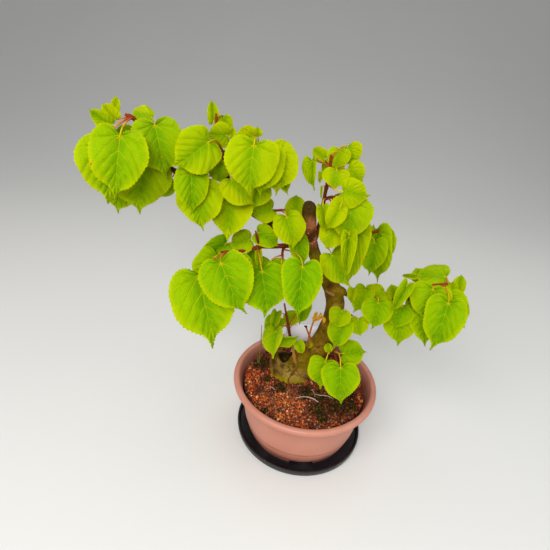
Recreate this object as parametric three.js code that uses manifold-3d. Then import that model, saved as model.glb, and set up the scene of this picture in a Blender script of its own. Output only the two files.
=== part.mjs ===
// Small-leaved lime bonsai in a round clay-coloured bowl, standing in a black saucer.
// Millimetres, +Z up, origin at the centre of the saucer's underside, front towards -Y.

import * as THREE from 'three';
import { mergeVertices } from 'three/addons/utils/BufferGeometryUtils.js';
import Module from 'manifold-3d';

const wasm = await Module();
wasm.setup();

// Driving dimensions
const rimRadius = 100;
const potTop = 94;
const wall = 3;
const seat = 0.3;
const footRadius = 73;
const footWidth = 7;
const footHeight = 4;
const notchWidth = 32;
const notchReach = 14;
const notchDepth = 3;
const drainRadius = 4.5;
const drainRing = 46;
const saucerRadius = 91;
const saucerHeight = 9;
const saucerFloor = 3;
const soilLevel = 82;
const soilMound = 9;
const moundSpread = 45;
const soilFoot = [-8, 6];
const rearDip = 5;
const grainHeight = 2.2;
const rimDip = 1.5;
const soilRadius = 85.2;
const bladeThickness = 0.8;
const stalkRadius = 0.9;
const stalkEnd = 0.36;

const radians = THREE.MathUtils.degToRad;
const vec = (point) => new THREE.Vector3(...point);

// A small seeded generator, so every build draws the same numbers.
function seeded(seed) {
  let state = seed;
  return () => {
    state = (Math.imul(state, 1664525) + 1013904223) >>> 0;
    return state / 4294967296;
  };
}

// Turns a closed geometry into a solid that can be joined and cut.
function solid(geometry) {
  const bare = geometry.clone();
  bare.deleteAttribute('normal');
  bare.deleteAttribute('uv');
  const merged = mergeVertices(bare, 1e-4);
  const vertProperties = new Float32Array(merged.attributes.position.array);
  const triVerts = new Uint32Array(merged.index.array);
  return new wasm.Manifold(new wasm.Mesh({ numProp: 3, vertProperties, triVerts }));
}

// Turns a solid back into a geometry. Loose scraps left by a cut are dropped.
function geometryOf(body) {
  const pieces = body.decompose();
  pieces.sort((a, b) => b.volume() - a.volume());
  const mesh = pieces[0].getMesh();
  const geometry = new THREE.BufferGeometry();
  geometry.setAttribute('position', new THREE.BufferAttribute(mesh.vertProperties, 3));
  geometry.setIndex(new THREE.BufferAttribute(mesh.triVerts, 1));
  geometry.computeVertexNormals();
  return geometry;
}

const joined = (bodies) => bodies.reduce((whole, body) => whole.add(body));

// The smooth route through these [x, y, z, radius] stops.
const routeOf = (stops) => new THREE.CatmullRomCurve3(stops.map(([x, y, z]) => vec([x, y, z])));

// A round body along such a route. Swell makes it lumpy.
function limb(stops, sides, stepsPerSpan, grow = 0, swell = 0) {
  const curve = routeOf(stops);
  const steps = stepsPerSpan * (stops.length - 1);
  const form = new THREE.CylinderGeometry(1, 1, 1, sides, steps);
  const rings = [];
  let side = new THREE.Vector3(1, 0.3, 0.2);
  for (let i = 0; i <= steps; i += 1) {
    const t = i / steps;
    const along = curve.getTangent(t);
    side = side.clone().addScaledVector(along, -side.dot(along)).normalize();
    const span = Math.min(Math.floor(t * (stops.length - 1)), stops.length - 2);
    const part = t * (stops.length - 1) - span;
    const radius = THREE.MathUtils.lerp(stops[span][3], stops[span + 1][3], part);
    rings.push({ centre: curve.getPoint(t), side, other: side.clone().cross(along), radius });
  }
  const position = form.attributes.position;
  for (let i = 0; i < position.count; i += 1) {
    const level = Math.round((position.getY(i) + 0.5) * steps);
    const ring = rings[level];
    const angle = Math.atan2(position.getZ(i), position.getX(i));
    const broad = Math.sin(3 * angle + 1.7 * level);
    const twisted = 0.6 * Math.sin(2 * angle - 2.3 * level);
    const lump = 1 + swell * (broad + twisted);
    const reach = ring.radius * lump + grow;
    const point = ring.centre.clone();
    point.addScaledVector(ring.side, position.getX(i) * reach);
    point.addScaledVector(ring.other, position.getZ(i) * reach);
    position.setXYZ(i, point.x, point.y, point.z);
  }
  return solid(form);
}

// A ring or plate turned from an outline of [radius, height] points.
function turned(outline, segments) {
  const form = new THREE.LatheGeometry(outline.map(([r, z]) => new THREE.Vector2(r, z)), segments);
  form.rotateX(Math.PI / 2);
  return solid(form);
}

function block(width, depth, height, x, y, z, turn = 0) {
  const form = new THREE.BoxGeometry(width, depth, height);
  form.translate(x, y, z);
  form.rotateZ(turn);
  return solid(form);
}

// Saucer: a plain black tray with a thin upright wall.
const saucerOutline = [
  [0, 0],
  [88.5, 0],
  [90.4, 1.4],
  [saucerRadius, saucerHeight - 0.8],
  [saucerRadius - 0.8, saucerHeight],
  [saucerRadius - wall, saucerHeight - 0.4],
  [87.2, saucerFloor + 0.9],
  [86, saucerFloor],
  [0, saucerFloor],
];

// Bowl: moulded plastic with a thick rounded lip and a foot ring, open at the top.
const potFoot = saucerFloor + seat;
const potFloor = potFoot + footHeight;
const innerWall = [
  [88.3, soilLevel],
  [84, 66],
  [79, 34],
  [74, 16],
  [68, potFloor + wall],
];
const potOutline = [
  [0, potFloor],
  [footRadius - footWidth, potFloor],
  [footRadius - footWidth, potFoot],
  [footRadius, potFoot],
  [footRadius + 1.2, potFoot + footHeight],
  [77, 14],
  [82, 34],
  [87, 68],
  [89, 79],
  [98, 85],
  [rimRadius, 89],
  [99, 92.6],
  [96, potTop],
  [91.5, 93],
  ...innerWall,
  [0, potFloor + wall],
];

function pot() {
  let body = turned(potOutline, 32);
  for (let i = 0; i < 4; i += 1) {
    const turn = radians(90 * i + 3);
    const middle = footRadius - footWidth / 2;
    body = body.subtract(block(notchWidth, notchReach, 2 * notchDepth, 0, -middle, potFoot, turn));
  }
  for (let i = 0; i < 5; i += 1) {
    const turn = radians(72 * i + 18);
    const hole = new THREE.CylinderGeometry(drainRadius, drainRadius, 4 * wall, 8);
    hole.rotateX(Math.PI / 2);
    hole.translate(drainRing * Math.cos(turn), drainRing * Math.sin(turn), potFloor);
    body = body.subtract(solid(hole));
  }
  return body;
}

// Wood: root flare, leaning trunk with its cut top, and the long branch to the left.
const trunkStops = [
  [-20, 11, 60, 21],
  [-19, 12, 82, 25.5],
  [-11, 11, 98, 23],
  [1, 10, 116, 19],
  [13, 10, 136, 16.5],
  [21, 12, 158, 14],
  [26, 12, 187, 12.6],
  [25, 12, 212, 11.6],
  [20, 10, 228, 11],
  [11.5, 8, 243, 9.8],
  [3, 5, 257, 8.8],
  [-6, 3, 271, 7.4],
  [-13, 0, 285, 6.9],
  [-18, -2, 298, 7.4],
  [-21, -4, 312, 8],
  [-24, -5, 327, 7.9],
  [-26, -6, 350, 7.2],
];
const stumpStops = [
  [-24, 6, 64, 14],
  [-32, 12, 84, 17],
  [-36, 18, 99, 15],
  [-35, 22, 112, 11],
];
const rootStops = [
  [[-16, 4, 98, 12], [-25, -3, 84, 10], [-28, -8, 70, 7]],
  [[4, 14, 100, 11], [14, 17, 88, 8], [23, 20, 72, 6]],
  [[-4, 20, 98, 11], [4, 31, 84, 8.5], [9, 38, 70, 6]],
];
const leftBranchStops = [
  [-19, -2, 300, 6],
  [-40, 2, 303, 5.4],
  [-59, 4, 311, 5],
  [-77, 4, 320, 4.8],
  [-92, 2, 330, 4.8],
  [-105, -2, 341, 4.6],
  [-117, -6, 352, 4.4],
  [-134, -8, 355, 3.7],
  [-153, -12, 362, 3.4],
  [-166, -15, 367, 3.1],
];
const stubStops = [
  [[-122, -7, 353, 3.8], [-129, -10, 351, 3.2], [-137, -12, 349, 1.6]],
  [[18, 10, 231, 8], [29, 8, 231, 6], [35, 7, 230, 3.4]],
];

// The trunk's sawn top slants towards the front.
const sawnThrough = [-26, -6, 342];
const sawnSlant = radians(35);

function sawn(trunk) {
  const inward = vec([0, Math.sin(sawnSlant), -Math.cos(sawnSlant)]);
  return trunk.trimByPlane(inward.toArray(), inward.dot(vec(sawnThrough)));
}

function wood(grow = 0) {
  const trunk = sawn(limb(trunkStops, 11, 1, grow, 0.035));
  const stump = limb(stumpStops, 9, 2, grow, 0.05);
  const roots = rootStops.map((stops) => limb(stops, 6, 1, grow));
  const branch = limb(leftBranchStops, 7, 1, grow, 0.04);
  const stubs = stubStops.map((stops) => limb(stops, 6, 1, grow));
  return joined([trunk, stump, ...roots, branch, ...stubs]);
}

// The dark hollow where the old stump meets the trunk.
const hollowPlace = [-29, 15, 112];
const hollowSize = [11, 9, 13];

function stumpHollow() {
  const form = new THREE.SphereGeometry(1, 10, 6);
  form.scale(...hollowSize);
  form.translate(...hollowPlace);
  return solid(form);
}

const grownWood = wood(seat);

// Leaf margin, for one half, in parts of the blade's length: [from the midrib, from the stalk].
const margin = new THREE.SplineCurve([
  new THREE.Vector2(0, 0.02),
  new THREE.Vector2(0.1, -0.07),
  new THREE.Vector2(0.24, -0.11),
  new THREE.Vector2(0.38, -0.05),
  new THREE.Vector2(0.47, 0.1),
  new THREE.Vector2(0.495, 0.28),
  new THREE.Vector2(0.465, 0.45),
  new THREE.Vector2(0.385, 0.6),
  new THREE.Vector2(0.26, 0.725),
  new THREE.Vector2(0.12, 0.805),
  new THREE.Vector2(0.045, 0.88),
  new THREE.Vector2(0, 1),
]);
const droop = radians(40);
const saddle = 0.25;
const foldTaper = 0.7;
const toothOut = 1.035;
const notchIn = 0.95;
const youngLength = 28;
const largeLength = 50;

// The directions of a spray as it faces the front: across, up, and out towards the viewer.
function facing(turn, tilt) {
  const a = radians(turn);
  const e = radians(tilt);
  const out = new THREE.Vector3(Math.sin(a) * Math.cos(e), -Math.cos(a) * Math.cos(e), Math.sin(e));
  const across = new THREE.Vector3(Math.cos(a), Math.sin(a), 0);
  return { across, up: out.clone().cross(across), out };
}

// Where one leaf sits and how it is turned, from its row in a cluster.
function leafPlace(cluster, row) {
  const [across, up, out, heading, length, pitch, roll, fold, width] = row;
  const frame = facing(cluster.turn, cluster.tilt);
  const base = vec(cluster.centre);
  base.addScaledVector(frame.across, across);
  base.addScaledVector(frame.up, up);
  base.addScaledVector(frame.out, out);
  const h = radians(heading);
  const p = radians(pitch);
  const along = frame.across.clone().multiplyScalar(Math.sin(h) * Math.cos(p));
  along.addScaledVector(frame.up, Math.cos(h) * Math.cos(p));
  along.addScaledVector(frame.out, -Math.sin(p));
  const flat = frame.out.clone().addScaledVector(along, -frame.out.dot(along)).normalize();
  const side = along.clone().cross(flat);
  const face = flat.clone().multiplyScalar(Math.cos(radians(roll)));
  face.addScaledVector(side, Math.sin(radians(roll)));
  const bands = length < youngLength ? 2 : length > largeLength && roll < 180 ? 4 : 3;
  return { base, along, face, side: along.clone().cross(face), length, fold: radians(fold), width, bands };
}

// A point of the blade: spread from the midrib and y from the stalk, in parts of its length.
// A folded blade is slimmer towards its tip.
function bladePoint(place, spread, y, lift) {
  const bend = droop * y;
  const x = spread * (1 - foldTaper * Math.sin(place.fold) ** 2 * y);
  const lean = place.face.clone().multiplyScalar(Math.cos(bend));
  lean.addScaledVector(place.along, Math.sin(bend));
  const rise = Math.abs(x) * Math.sin(place.fold) - saddle * x * x;
  const point = place.base.clone();
  point.addScaledVector(place.side, place.length * x * Math.cos(place.fold));
  point.addScaledVector(place.along, (place.length * Math.sin(bend)) / droop);
  point.addScaledVector(place.face, (-place.length * (1 - Math.cos(bend))) / droop);
  point.addScaledVector(lean, place.length * rise);
  if (x === 0) {
    return point.addScaledVector(lean, lift / Math.cos(place.fold));
  }
  point.addScaledVector(lean, lift * Math.cos(place.fold));
  return point.addScaledVector(place.side, -Math.sign(x) * lift * Math.sin(place.fold));
}

// One toothed blade: two faces over the midrib and both margins, and the cut edge between them.
function blade(place) {
  const bands = place.bands;
  const half = 2 * bands;
  const rim = [];
  for (let j = 0; j < 2 * half; j += 1) {
    const right = j <= half;
    const step = right ? j : 2 * half - j;
    const spot = margin.getPoint(step / half);
    const tooth = step % 2 === 1 ? toothOut : notchIn;
    const plain = step === 0 || step === half;
    const x = plain ? 0 : spot.x * place.width * tooth * (right ? 1 : -1);
    rim.push([x, spot.y]);
  }
  const rib = [];
  for (let b = 1; b < bands; b += 1) {
    const share = b / bands;
    rib.push([0, share * (0.45 + 0.4 * share)]);
  }
  const plan = [...rim, ...rib];
  const points = [];
  for (const lift of [bladeThickness / 2, -bladeThickness / 2]) {
    for (const [x, y] of plan) {
      points.push(bladePoint(place, x, y, lift));
    }
  }
  const ribAt = (b) => (b === 0 ? 0 : b === bands ? half : 2 * half + b - 1);
  const faces = [];
  const both = (a, b, c) => {
    if (a !== b && b !== c && a !== c) {
      faces.push([a, b, c], [plan.length + a, plan.length + c, plan.length + b]);
    }
  };
  const wrap = (j) => (j + 2 * half) % (2 * half);
  for (let b = 0; b < bands; b += 1) {
    both(ribAt(b), 2 * b, 2 * b + 1);
    both(ribAt(b), 2 * b + 1, ribAt(b + 1));
    both(ribAt(b + 1), 2 * b + 1, 2 * b + 2);
    both(ribAt(b), wrap(-2 * b - 1), wrap(-2 * b));
    both(ribAt(b), ribAt(b + 1), wrap(-2 * b - 1));
    both(ribAt(b + 1), wrap(-2 * b - 2), wrap(-2 * b - 1));
  }
  for (let j = 0; j < 2 * half; j += 1) {
    const next = wrap(j + 1);
    faces.push([plan.length + j, plan.length + next, next], [plan.length + j, next, j]);
  }
  const form = new THREE.BufferGeometry().setFromPoints(points);
  form.setIndex(faces.flat());
  return solid(form);
}

// The leaf stalk: from the nearest place on the twigs to just inside the blade.
function stalk(place, curves) {
  let start = null;
  let least = Infinity;
  for (const curve of curves) {
    for (let i = 3; i <= 24; i += 1) {
      const spot = curve.getPoint(i / 24);
      const reach = spot.distanceTo(place.base);
      if (reach < least) {
        least = reach;
        start = curve.getPoint(Math.max(i / 24 - (0.3 * reach) / curve.getLength(), 0.12));
      }
    }
  }
  const end = bladePoint(place, 0, 0.045, 0);
  const reach = start.distanceTo(end);
  const knee = end.clone().addScaledVector(place.along, -0.35 * reach);
  const middle = start.clone().lerp(knee, 0.55).addScaledVector(place.face, 0.06 * reach);
  const route = new THREE.CubicBezierCurve3(start, middle, knee, end);
  const spans = reach > 25 ? 3 : 2;
  const stops = route.getPoints(spans).map((p) => [p.x, p.y, p.z, stalkRadius]);
  stops[spans][3] = stalkEnd;
  return limb(stops, 3, 1);
}

// A spray: its twigs, its leaf stalks and its blades, grown together, and seated on the wood.
function spray(design) {
  const curves = design.twigs.map(routeOf);
  const bodies = design.twigs.map((stops) => limb(stops, 5, 1));
  for (const cluster of design.clusters) {
    for (const row of cluster.leaves) {
      const place = leafPlace(cluster, row);
      bodies.push(stalk(place, curves));
      bodies.push(blade(place));
    }
  }
  return joined(bodies).subtract(grownWood);
}

// Each twig is a route of [x, y, z, radius] stops from the wood outwards.
// Each leaf is [across, up, out, heading, length, pitch, roll, fold, width]: the blade's base from
// the cluster's centre, the way its tip points (0 is up, 180 is down), and its attitude in degrees.
const sprays = {
  spray_tip_left: {
    twigs: [[[-164, -14.5, 366, 2.8], [-173, -16, 371, 2.8], [-183, -19, 381, 2.6], [-192, -22, 393, 2.4],
      [-198, -28, 409, 2.1], [-205, -32, 421, 2], [-212, -34, 424, 1.4]]],
    clusters: [{
      centre: [-210, -30, 385], turn: 20, tilt: 15,
      leaves: [
        [-8, 17, 36, 190, 61, -18, 0, 12, 0.85],
        [23, 29, 17, 170, 53, -18, -8, 12, 1],
        [-20, 11, 25, 185, 58, -18, 6, 8, 0.95],
        [-7, -16, -10, 200, 45, -15, 0, 10, 1],
        [10, -4, 8, 190, 56, -15, 0, 8, 1.05],
        [37, -22, -3, 240, 31, -10, -30, 10, 1.1],
        [-18, 28, 4, 305, 24, -10, 0, 25, 0.75],
        [-13, 34, -4, 325, 20, -10, 10, 30, 0.9],
        [-13, 41, -10, 10, 18, -10, 0, 20, 0.6],
        [22, 38, -14, 285, 23, -10, 40, 5, 1.45],
        [8, 24, -16, 185, 50, 15, 180, 10, 1],
        [-14, 14, -14, 200, 42, 12, 180, 10, 1],
      ],
    }],
  },
  spray_upper_left: {
    twigs: [[[-116, -6, 354, 2.4], [-117, -10, 373, 2.2], [-121, -14, 390, 2], [-125, -18, 404, 1.8],
      [-128, -16, 419, 1.6], [-129, -14, 430, 1.2]]],
    clusters: [{
      centre: [-140, -20, 390], turn: 12, tilt: 12,
      leaves: [
        [5, 13, 24, 230, 44, -15, -10, 15, 1.05],
        [-12, -16, 15, 180, 43, -15, 0, 12, 0.82],
        [-4, -28, 9, 180, 50, -15, 0, 8, 0.95],
        [10, 33, -8, 355, 24, -5, 0, 30, 0.6],
        [20, 38, -4, 165, 19, -10, -20, 20, 0.9],
        [23, 20, 8, 265, 22, -10, -25, 10, 1.2],
        [15, -7, 2, 175, 22, -15, 0, 8, 1.1],
        [-1, -32, 2, 145, 25, -10, 0, 20, 0.9],
        [19, 6, -6, 210, 17, -10, 0, 10, 1.2],
        [2, 14, -24, 200, 42, 15, 180, 10, 1],
      ],
    }],
  },
  spray_crown_left: {
    twigs: [
      [[-106, -2, 342, 2.4], [-98, 0, 363, 2.2], [-90, -4, 384, 2], [-87, -8, 404, 1.4]],
      [[-93, -2, 374, 2], [-97, -6, 392, 1.7], [-105, -10, 406, 1.2]],
    ],
    clusters: [{
      centre: [-85, -15, 390], turn: 5, tilt: 12,
      leaves: [
        [-5, 14, 32, 185, 50, -18, 0, 12, 1.05],
        [4, 11, 24, 180, 47, -18, -10, 10, 1],
        [15, 9, 14, 165, 44, -18, -12, 8, 1.1],
        [16, 9, -2, 105, 25, -10, 0, 10, 1.2],
        [24, -9, 4, 160, 28, -10, 0, 45, 0.8],
        [-5, 21, 10, 260, 21, -10, 0, 25, 1.2],
        [-26, -21, 6, 140, 37, -10, 0, 8, 0.95],
        [6, -26, -2, 205, 28, -10, 10, 10, 1],
        [-24, -38, -15, 185, 55, -6, 180, -10, 0.85],
        [-2, 12, -12, 175, 46, 15, 180, 10, 1],
      ],
    }],
  },
  spray_inner_left: {
    twigs: [[[-77, 3, 321, 2], [-71, -2, 330, 1.7], [-60, -8, 335, 1.4], [-52, -10, 337, 1.1]]],
    clusters: [{
      centre: [-80, -5, 320], turn: 5, tilt: 20,
      leaves: [
        [14, 14, 8, 250, 27, -10, 0, 10, 1.05],
        [28, 7, 26, 160, 38, -15, 0, 15, 0.95],
        [41, 9, -4, 0, 26, -5, 0, 10, 1],
      ],
    }],
  },
  spray_middle_left: {
    twigs: [
      [[-19, -1, 297, 3.2], [-34, -6, 295, 3], [-49, -12, 295, 3.4], [-65, -16, 294, 2.8],
        [-78, -20, 294, 2.4], [-87, -24, 291, 2.1], [-101, -29, 290, 1.9], [-118, -36, 291, 1.2]],
      [[-48, -12, 295, 1.8], [-50, -12, 287, 1.5], [-49, -15, 279, 1.2]],
      [[-76, -20, 294, 1.8], [-80, -22, 306, 1.5], [-82, -22, 314, 1.1]],
    ],
    clusters: [{
      centre: [-90, -35, 260], turn: 6, tilt: 30,
      leaves: [
        [-50, 2, 14, 165, 84, -18, 0, 8, 0.85],
        [-27, 16, 30, 155, 63, -18, 0, 12, 0.92],
        [-33, 24, 1, 215, 41, -15, 8, 10, 0.95],
        [-23, 40, -12, 235, 42, -10, 0, 45, 0.9],
        [18, 10, 18, 170, 53, -18, 0, 10, 1.12],
        [61, 17, 30, 185, 59, -18, 0, 22, 0.85],
        [41, 19, 6, 170, 38, -15, 0, 8, 1.15],
        [55, 51, 13, 165, 39, -12, 0, 15, 0.65],
        [-6, 23, 8, 150, 23, -10, 0, 10, 0.9],
        [12, 52, 8, 115, 31, -8, 0, 20, 0.9],
        [4, 44, 5, 255, 27, -10, 10, 10, 1.05],
        [14, 32, 2, 175, 26, -10, 0, 50, 0.6],
        [-30, 14, -14, 175, 55, 15, 180, 10, 1],
        [30, 22, -12, 180, 44, 12, 180, 10, 1],
        [-2, 26, -22, 165, 46, 15, 180, 10, 1],
      ],
    }],
  },
  spray_top_right: {
    twigs: [
      [[-15, -2, 294, 3], [-11, 2, 319, 2.8], [-10, 2, 344, 2.4], [-10, -2, 360, 2.1], [-9, -8, 381, 1.8],
        [-11, -12, 401, 1.2]],
      [[-10, 1, 350, 1.7], [-2, -4, 355, 1.4], [6, -8, 356, 1.1]],
    ],
    clusters: [{
      centre: [5, -15, 350], turn: -8, tilt: 17,
      leaves: [
        [2, 14, 32, 95, 28, -10, 0, 8, 1.05],
        [12, 5, 26, 175, 43, -15, -12, 10, 1.1],
        [1, -2, 36, 200, 26, -15, 0, 30, 0.9],
        [-16, -4, 14, 165, 29, -10, 0, 45, 0.8],
        [0, -24, 8, 200, 27, -15, 10, 8, 1.15],
        [15, -29, 28, 175, 48, -15, 0, 60, 0.75],
        [25, -22, 0, 180, 64, -15, 0, 45, 0.62],
        [1, -55, -12, 145, 45, -15, 0, 20, 0.85],
        [-35, 42, 7, 175, 32, -12, 25, 45, 0.85],
        [-23, 46, 0, 300, 19, -5, 0, 20, 0.9],
        [-8, 55, 8, 185, 21, -10, 0, 20, 1.25],
        [-1, 60, 2, 150, 21, -10, 0, 15, 1.4],
        [-8, 34, 20, 180, 21, -30, 0, 8, 1.3],
        [10, 10, -14, 170, 42, 15, 180, 10, 1],
        [-12, 44, -14, 190, 26, 12, 180, 10, 1],
        [16, -16, -22, 180, 44, 12, 180, 10, 1],
      ],
    }],
  },
  spray_rear_right: {
    twigs: [[[4, 8, 262, 2.8], [22, 22, 275, 2.4], [41, 34, 288, 2], [54, 38, 298, 1.7],
      [68, 40, 306, 1.2]]],
    clusters: [{
      centre: [70, 35, 280], turn: -15, tilt: 22,
      leaves: [
        [-7, 24, 0, 165, 69, -12, 0, 35, 0.75],
        [-6, 11, 20, 175, 45, -12, 0, 15, 0.8],
        [-1, 25, -8, 155, 42, -12, 0, 20, 0.8],
        [-2, 20, -16, 185, 46, 15, 180, 10, 1],
      ],
    }],
  },
  spray_low_right: {
    twigs: [
      [[24, 10, 229, 3.4], [45, 14, 223, 3], [71, 12, 223, 2.6], [95, 8, 225, 2.3], [110, 3, 233, 2.1],
        [124, -4, 249, 1.9], [133, -10, 262, 1.6], [147, -14, 268, 1.1]],
    ],
    clusters: [
      {
        centre: [85, 0, 220], turn: -18, tilt: 28,
        leaves: [
          [-8, 4, 20, 175, 35, -15, 0, 10, 1.1],
          [20, 7, 12, 185, 32, -15, 0, 8, 1.05],
          [20, -7, 4, 165, 38, -15, 0, 8, 1],
          [19, 32, 33, 195, 39, -15, 0, 50, 0.7],
          [-27, 16, 8, 190, 35, -15, 0, 12, 0.85],
          [-42, 12, 14, 175, 20, -10, 0, 20, 0.7],
          [-4, 18, 2, 215, 22, -10, 0, 8, 1.5],
          [10, 15, -8, 325, 19, -5, 0, 10, 1],
          [32, 14, -7, 160, 32, -12, 0, 20, 0.7],
          [0, 10, -18, 180, 36, 15, 180, 10, 1],
        ],
      },
      {
        centre: [140, -10, 240], turn: -24, tilt: 28,
        leaves: [
          [14, 4, 32, 180, 60, -18, 0, 8, 0.78],
          [12, 10, 18, 140, 41, -15, 0, 12, 0.9],
          [-6, 14, 20, 180, 42, -18, 0, 12, 1.2],
          [-5, -8, 4, 170, 50, -15, 0, 10, 0.85],
          [4, 32, 2, 265, 39, -10, 40, 8, 1.2],
          [-23, 22, -12, 320, 18, -5, 0, 10, 1.2],
          [-30, 22, 2, 260, 18, -5, 0, 60, 0.9],
          [20, 19, 2, 0, 24, -5, 0, 25, 0.75],
          [12, 26, 8, 155, 20, -5, 0, 20, 0.7],
          [8, 10, -14, 180, 50, 15, 180, 10, 1],
          [-12, 12, -23, 200, 38, 12, 180, 10, 1],
        ],
      },
    ],
  },
  spray_foot_left: {
    twigs: [[[-12, 2, 108, 2.5], [-17, -4, 121, 2.4], [-22, -9, 143, 2.2], [-28, -11, 164, 1.8],
      [-35, -10, 192, 1.6], [-41, -10, 216, 1.1]]],
    clusters: [{
      centre: [-40, -5, 175], turn: 0, tilt: 36,
      leaves: [
        [-9, 19, 16, 190, 26, -10, 0, 48, 0.85],
        [-7, -4, 28, 195, 35, -12, 50, 30, 1.2],
        [-1, -13, 14, 90, 26, -10, 40, 50, 1.2],
        [17, 17, 0, 245, 23, -10, 0, 10, 0.9],
        [27, 36, -4, 190, 31, -10, 0, 20, 0.75],
        [22, -16, 4, 155, 18, -10, 0, 25, 0.9],
        [-8, 12, -12, 200, 28, 12, 180, 10, 1],
      ],
    }],
  },
  spray_foot_right: {
    twigs: [[[22, 8, 160, 2], [30, -5, 149, 1.7], [38, -16, 134, 1.1]]],
    clusters: [{
      centre: [35, -25, 165], turn: -12, tilt: 38,
      leaves: [
        [5, -4, 0, 70, 31, -12, 0, 12, 1.15],
        [-14, -18, 14, 185, 35, -12, 0, 14, 1.2],
        [5, -20, 26, 170, 45, -12, 0, 8, 1.05],
      ],
    }],
  },
  spray_waist_right: {
    twigs: [[[27, 9, 186, 2], [38, -2, 194, 1.7], [45, -8, 208, 1.1]]],
    clusters: [{
      centre: [40, -10, 195], turn: -12, tilt: 34,
      leaves: [
        [-8, 14, 21, 195, 25, -12, 0, 10, 1.15],
        [-5, 2, 13, 185, 38, -12, 0, 12, 0.82],
        [13, 9, 4, 165, 24, -12, 0, 10, 1.1],
      ],
    }],
  },
};

// Two dried shoots that cross in front of the trunk, with withered buds at their tips.
const dryStops = [
  [[3, 6, 138, 1.4], [-3, -8, 146, 1.4], [-4, -8, 160, 1.3], [-3, -7, 178, 1.2], [-1, -7, 192, 1]],
  [[14, 6, 146, 1.4], [9, -9, 152, 1.4], [3, -9, 158, 1.2], [-4, -8, 170, 1.2], [-9, -7, 180, 1]],
];
const budStops = [
  [[-1, -7, 190, 0.9], [-1, -9, 197, 2.8], [0, -10, 205, 2.6], [1, -10, 209, 0.9]],
  [[-1, -7, 191, 0.9], [4, -8, 197, 2.6], [6, -9, 203, 2.6], [6, -9, 207, 0.9]],
  [[0, -7, 191, 0.9], [6, -7, 199, 1.6], [12, -8, 197, 2.6], [11, -9, 190, 0.9]],
  [[-8, -7, 179, 0.9], [-10, -7, 182, 2.2], [-12, -8, 184, 1]],
];

function driedShoots() {
  const stems = dryStops.map((stops) => limb(stops, 4, 1));
  const buds = budStops.map((stops) => limb(stops, 4, 1));
  return joined([...stems, ...buds]).subtract(grownWood);
}

// A thin dry grass stem behind the stump.
const grassStops = [[-68, 26, 70, 0.8], [-67, 32, 96, 0.8], [-67, 38, 120, 0.7], [-68, 40, 144, 0.5]];

// Plant label: a rounded white plate on a pointed stake behind the trunk.
const labelPlace = [-8, 39.5, 138];
const labelLean = radians(4);
const labelWidth = 50;
const labelHeight = 28;
const labelCorner = 6;
const labelThickness = 1;
const stakeWidth = 8;
const stakeAside = 3;
const stakePoint = 6;
const stakeReach = 66;

function placeLabel(form) {
  form.rotateY(labelLean);
  form.translate(...labelPlace);
  return solid(form);
}

function plantLabel() {
  const right = labelWidth / 2 - labelCorner;
  const high = labelHeight / 2 - labelCorner;
  const outline = new THREE.Shape();
  outline.absarc(right, high, labelCorner, 0, Math.PI / 2);
  outline.absarc(-right, high, labelCorner, Math.PI / 2, Math.PI);
  outline.absarc(-right, -high, labelCorner, Math.PI, 1.5 * Math.PI);
  outline.lineTo(-stakeWidth - stakeAside, -labelHeight / 2);
  outline.lineTo(-stakeWidth - stakeAside, -stakeReach + stakePoint);
  outline.lineTo(-stakeWidth / 2 - stakeAside, -stakeReach);
  outline.lineTo(-stakeAside, -stakeReach + stakePoint);
  outline.lineTo(-stakeAside, -labelHeight / 2);
  outline.absarc(right, -high, labelCorner, 1.5 * Math.PI, 2 * Math.PI);
  const depth = labelThickness;
  const form = new THREE.ExtrudeGeometry(outline, { depth, bevelEnabled: false, curveSegments: 4 });
  form.rotateX(Math.PI / 2);
  return placeLabel(form);
}

// The plain hole that the stake stands in.
function stakeHole() {
  const form = new THREE.BoxGeometry(stakeWidth + 2 * seat, labelThickness + 2 * seat, stakeReach);
  form.translate(-stakeAside - stakeWidth / 2, -labelThickness / 2, -stakeReach / 2 - seat);
  return placeLabel(form);
}

// Soil: a mounded surface of coarse granules, lower at the back on the right.
function soilHeight(x, y) {
  const fromTrunk = Math.hypot(x - soilFoot[0], y - soilFoot[1]);
  const mound = soilMound * Math.exp(-((fromTrunk / moundSpread) ** 2));
  const dip = rearDip * THREE.MathUtils.smoothstep(0.6 * x + 0.8 * y, 20, 75);
  return soilLevel - 1 + mound - dip;
}

function soil(standing) {
  const rings = 9;
  const random = seeded(7);
  const top = [];
  for (let i = 0; i <= rings; i += 1) {
    top.push([(soilRadius * i) / rings, 100]);
  }
  const floor = innerWall.map(([r, z]) => [r - 2 * seat, z]);
  floor[0] = [soilRadius, soilLevel - 9];
  floor[floor.length - 1] = [67, potFloor + wall + seat];
  const outline = [...top, ...floor, [0, potFloor + wall + seat]].reverse();
  const form = new THREE.LatheGeometry(outline.map(([r, z]) => new THREE.Vector2(r, z)), 32);
  form.rotateX(Math.PI / 2);
  form.deleteAttribute('normal');
  form.deleteAttribute('uv');
  const merged = mergeVertices(form, 1e-4);
  const position = merged.attributes.position;
  for (let i = 0; i < position.count; i += 1) {
    if (position.getZ(i) > 99) {
      const grain = grainHeight * (random() - 0.5);
      const x = position.getX(i);
      const y = position.getY(i);
      const edge = Math.hypot(x, y) > soilRadius - 1 ? -rimDip : grain;
      position.setZ(i, soilHeight(x, y) + edge);
    }
  }
  return standing.reduce((body, other) => body.subtract(other), solid(merged));
}

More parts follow.
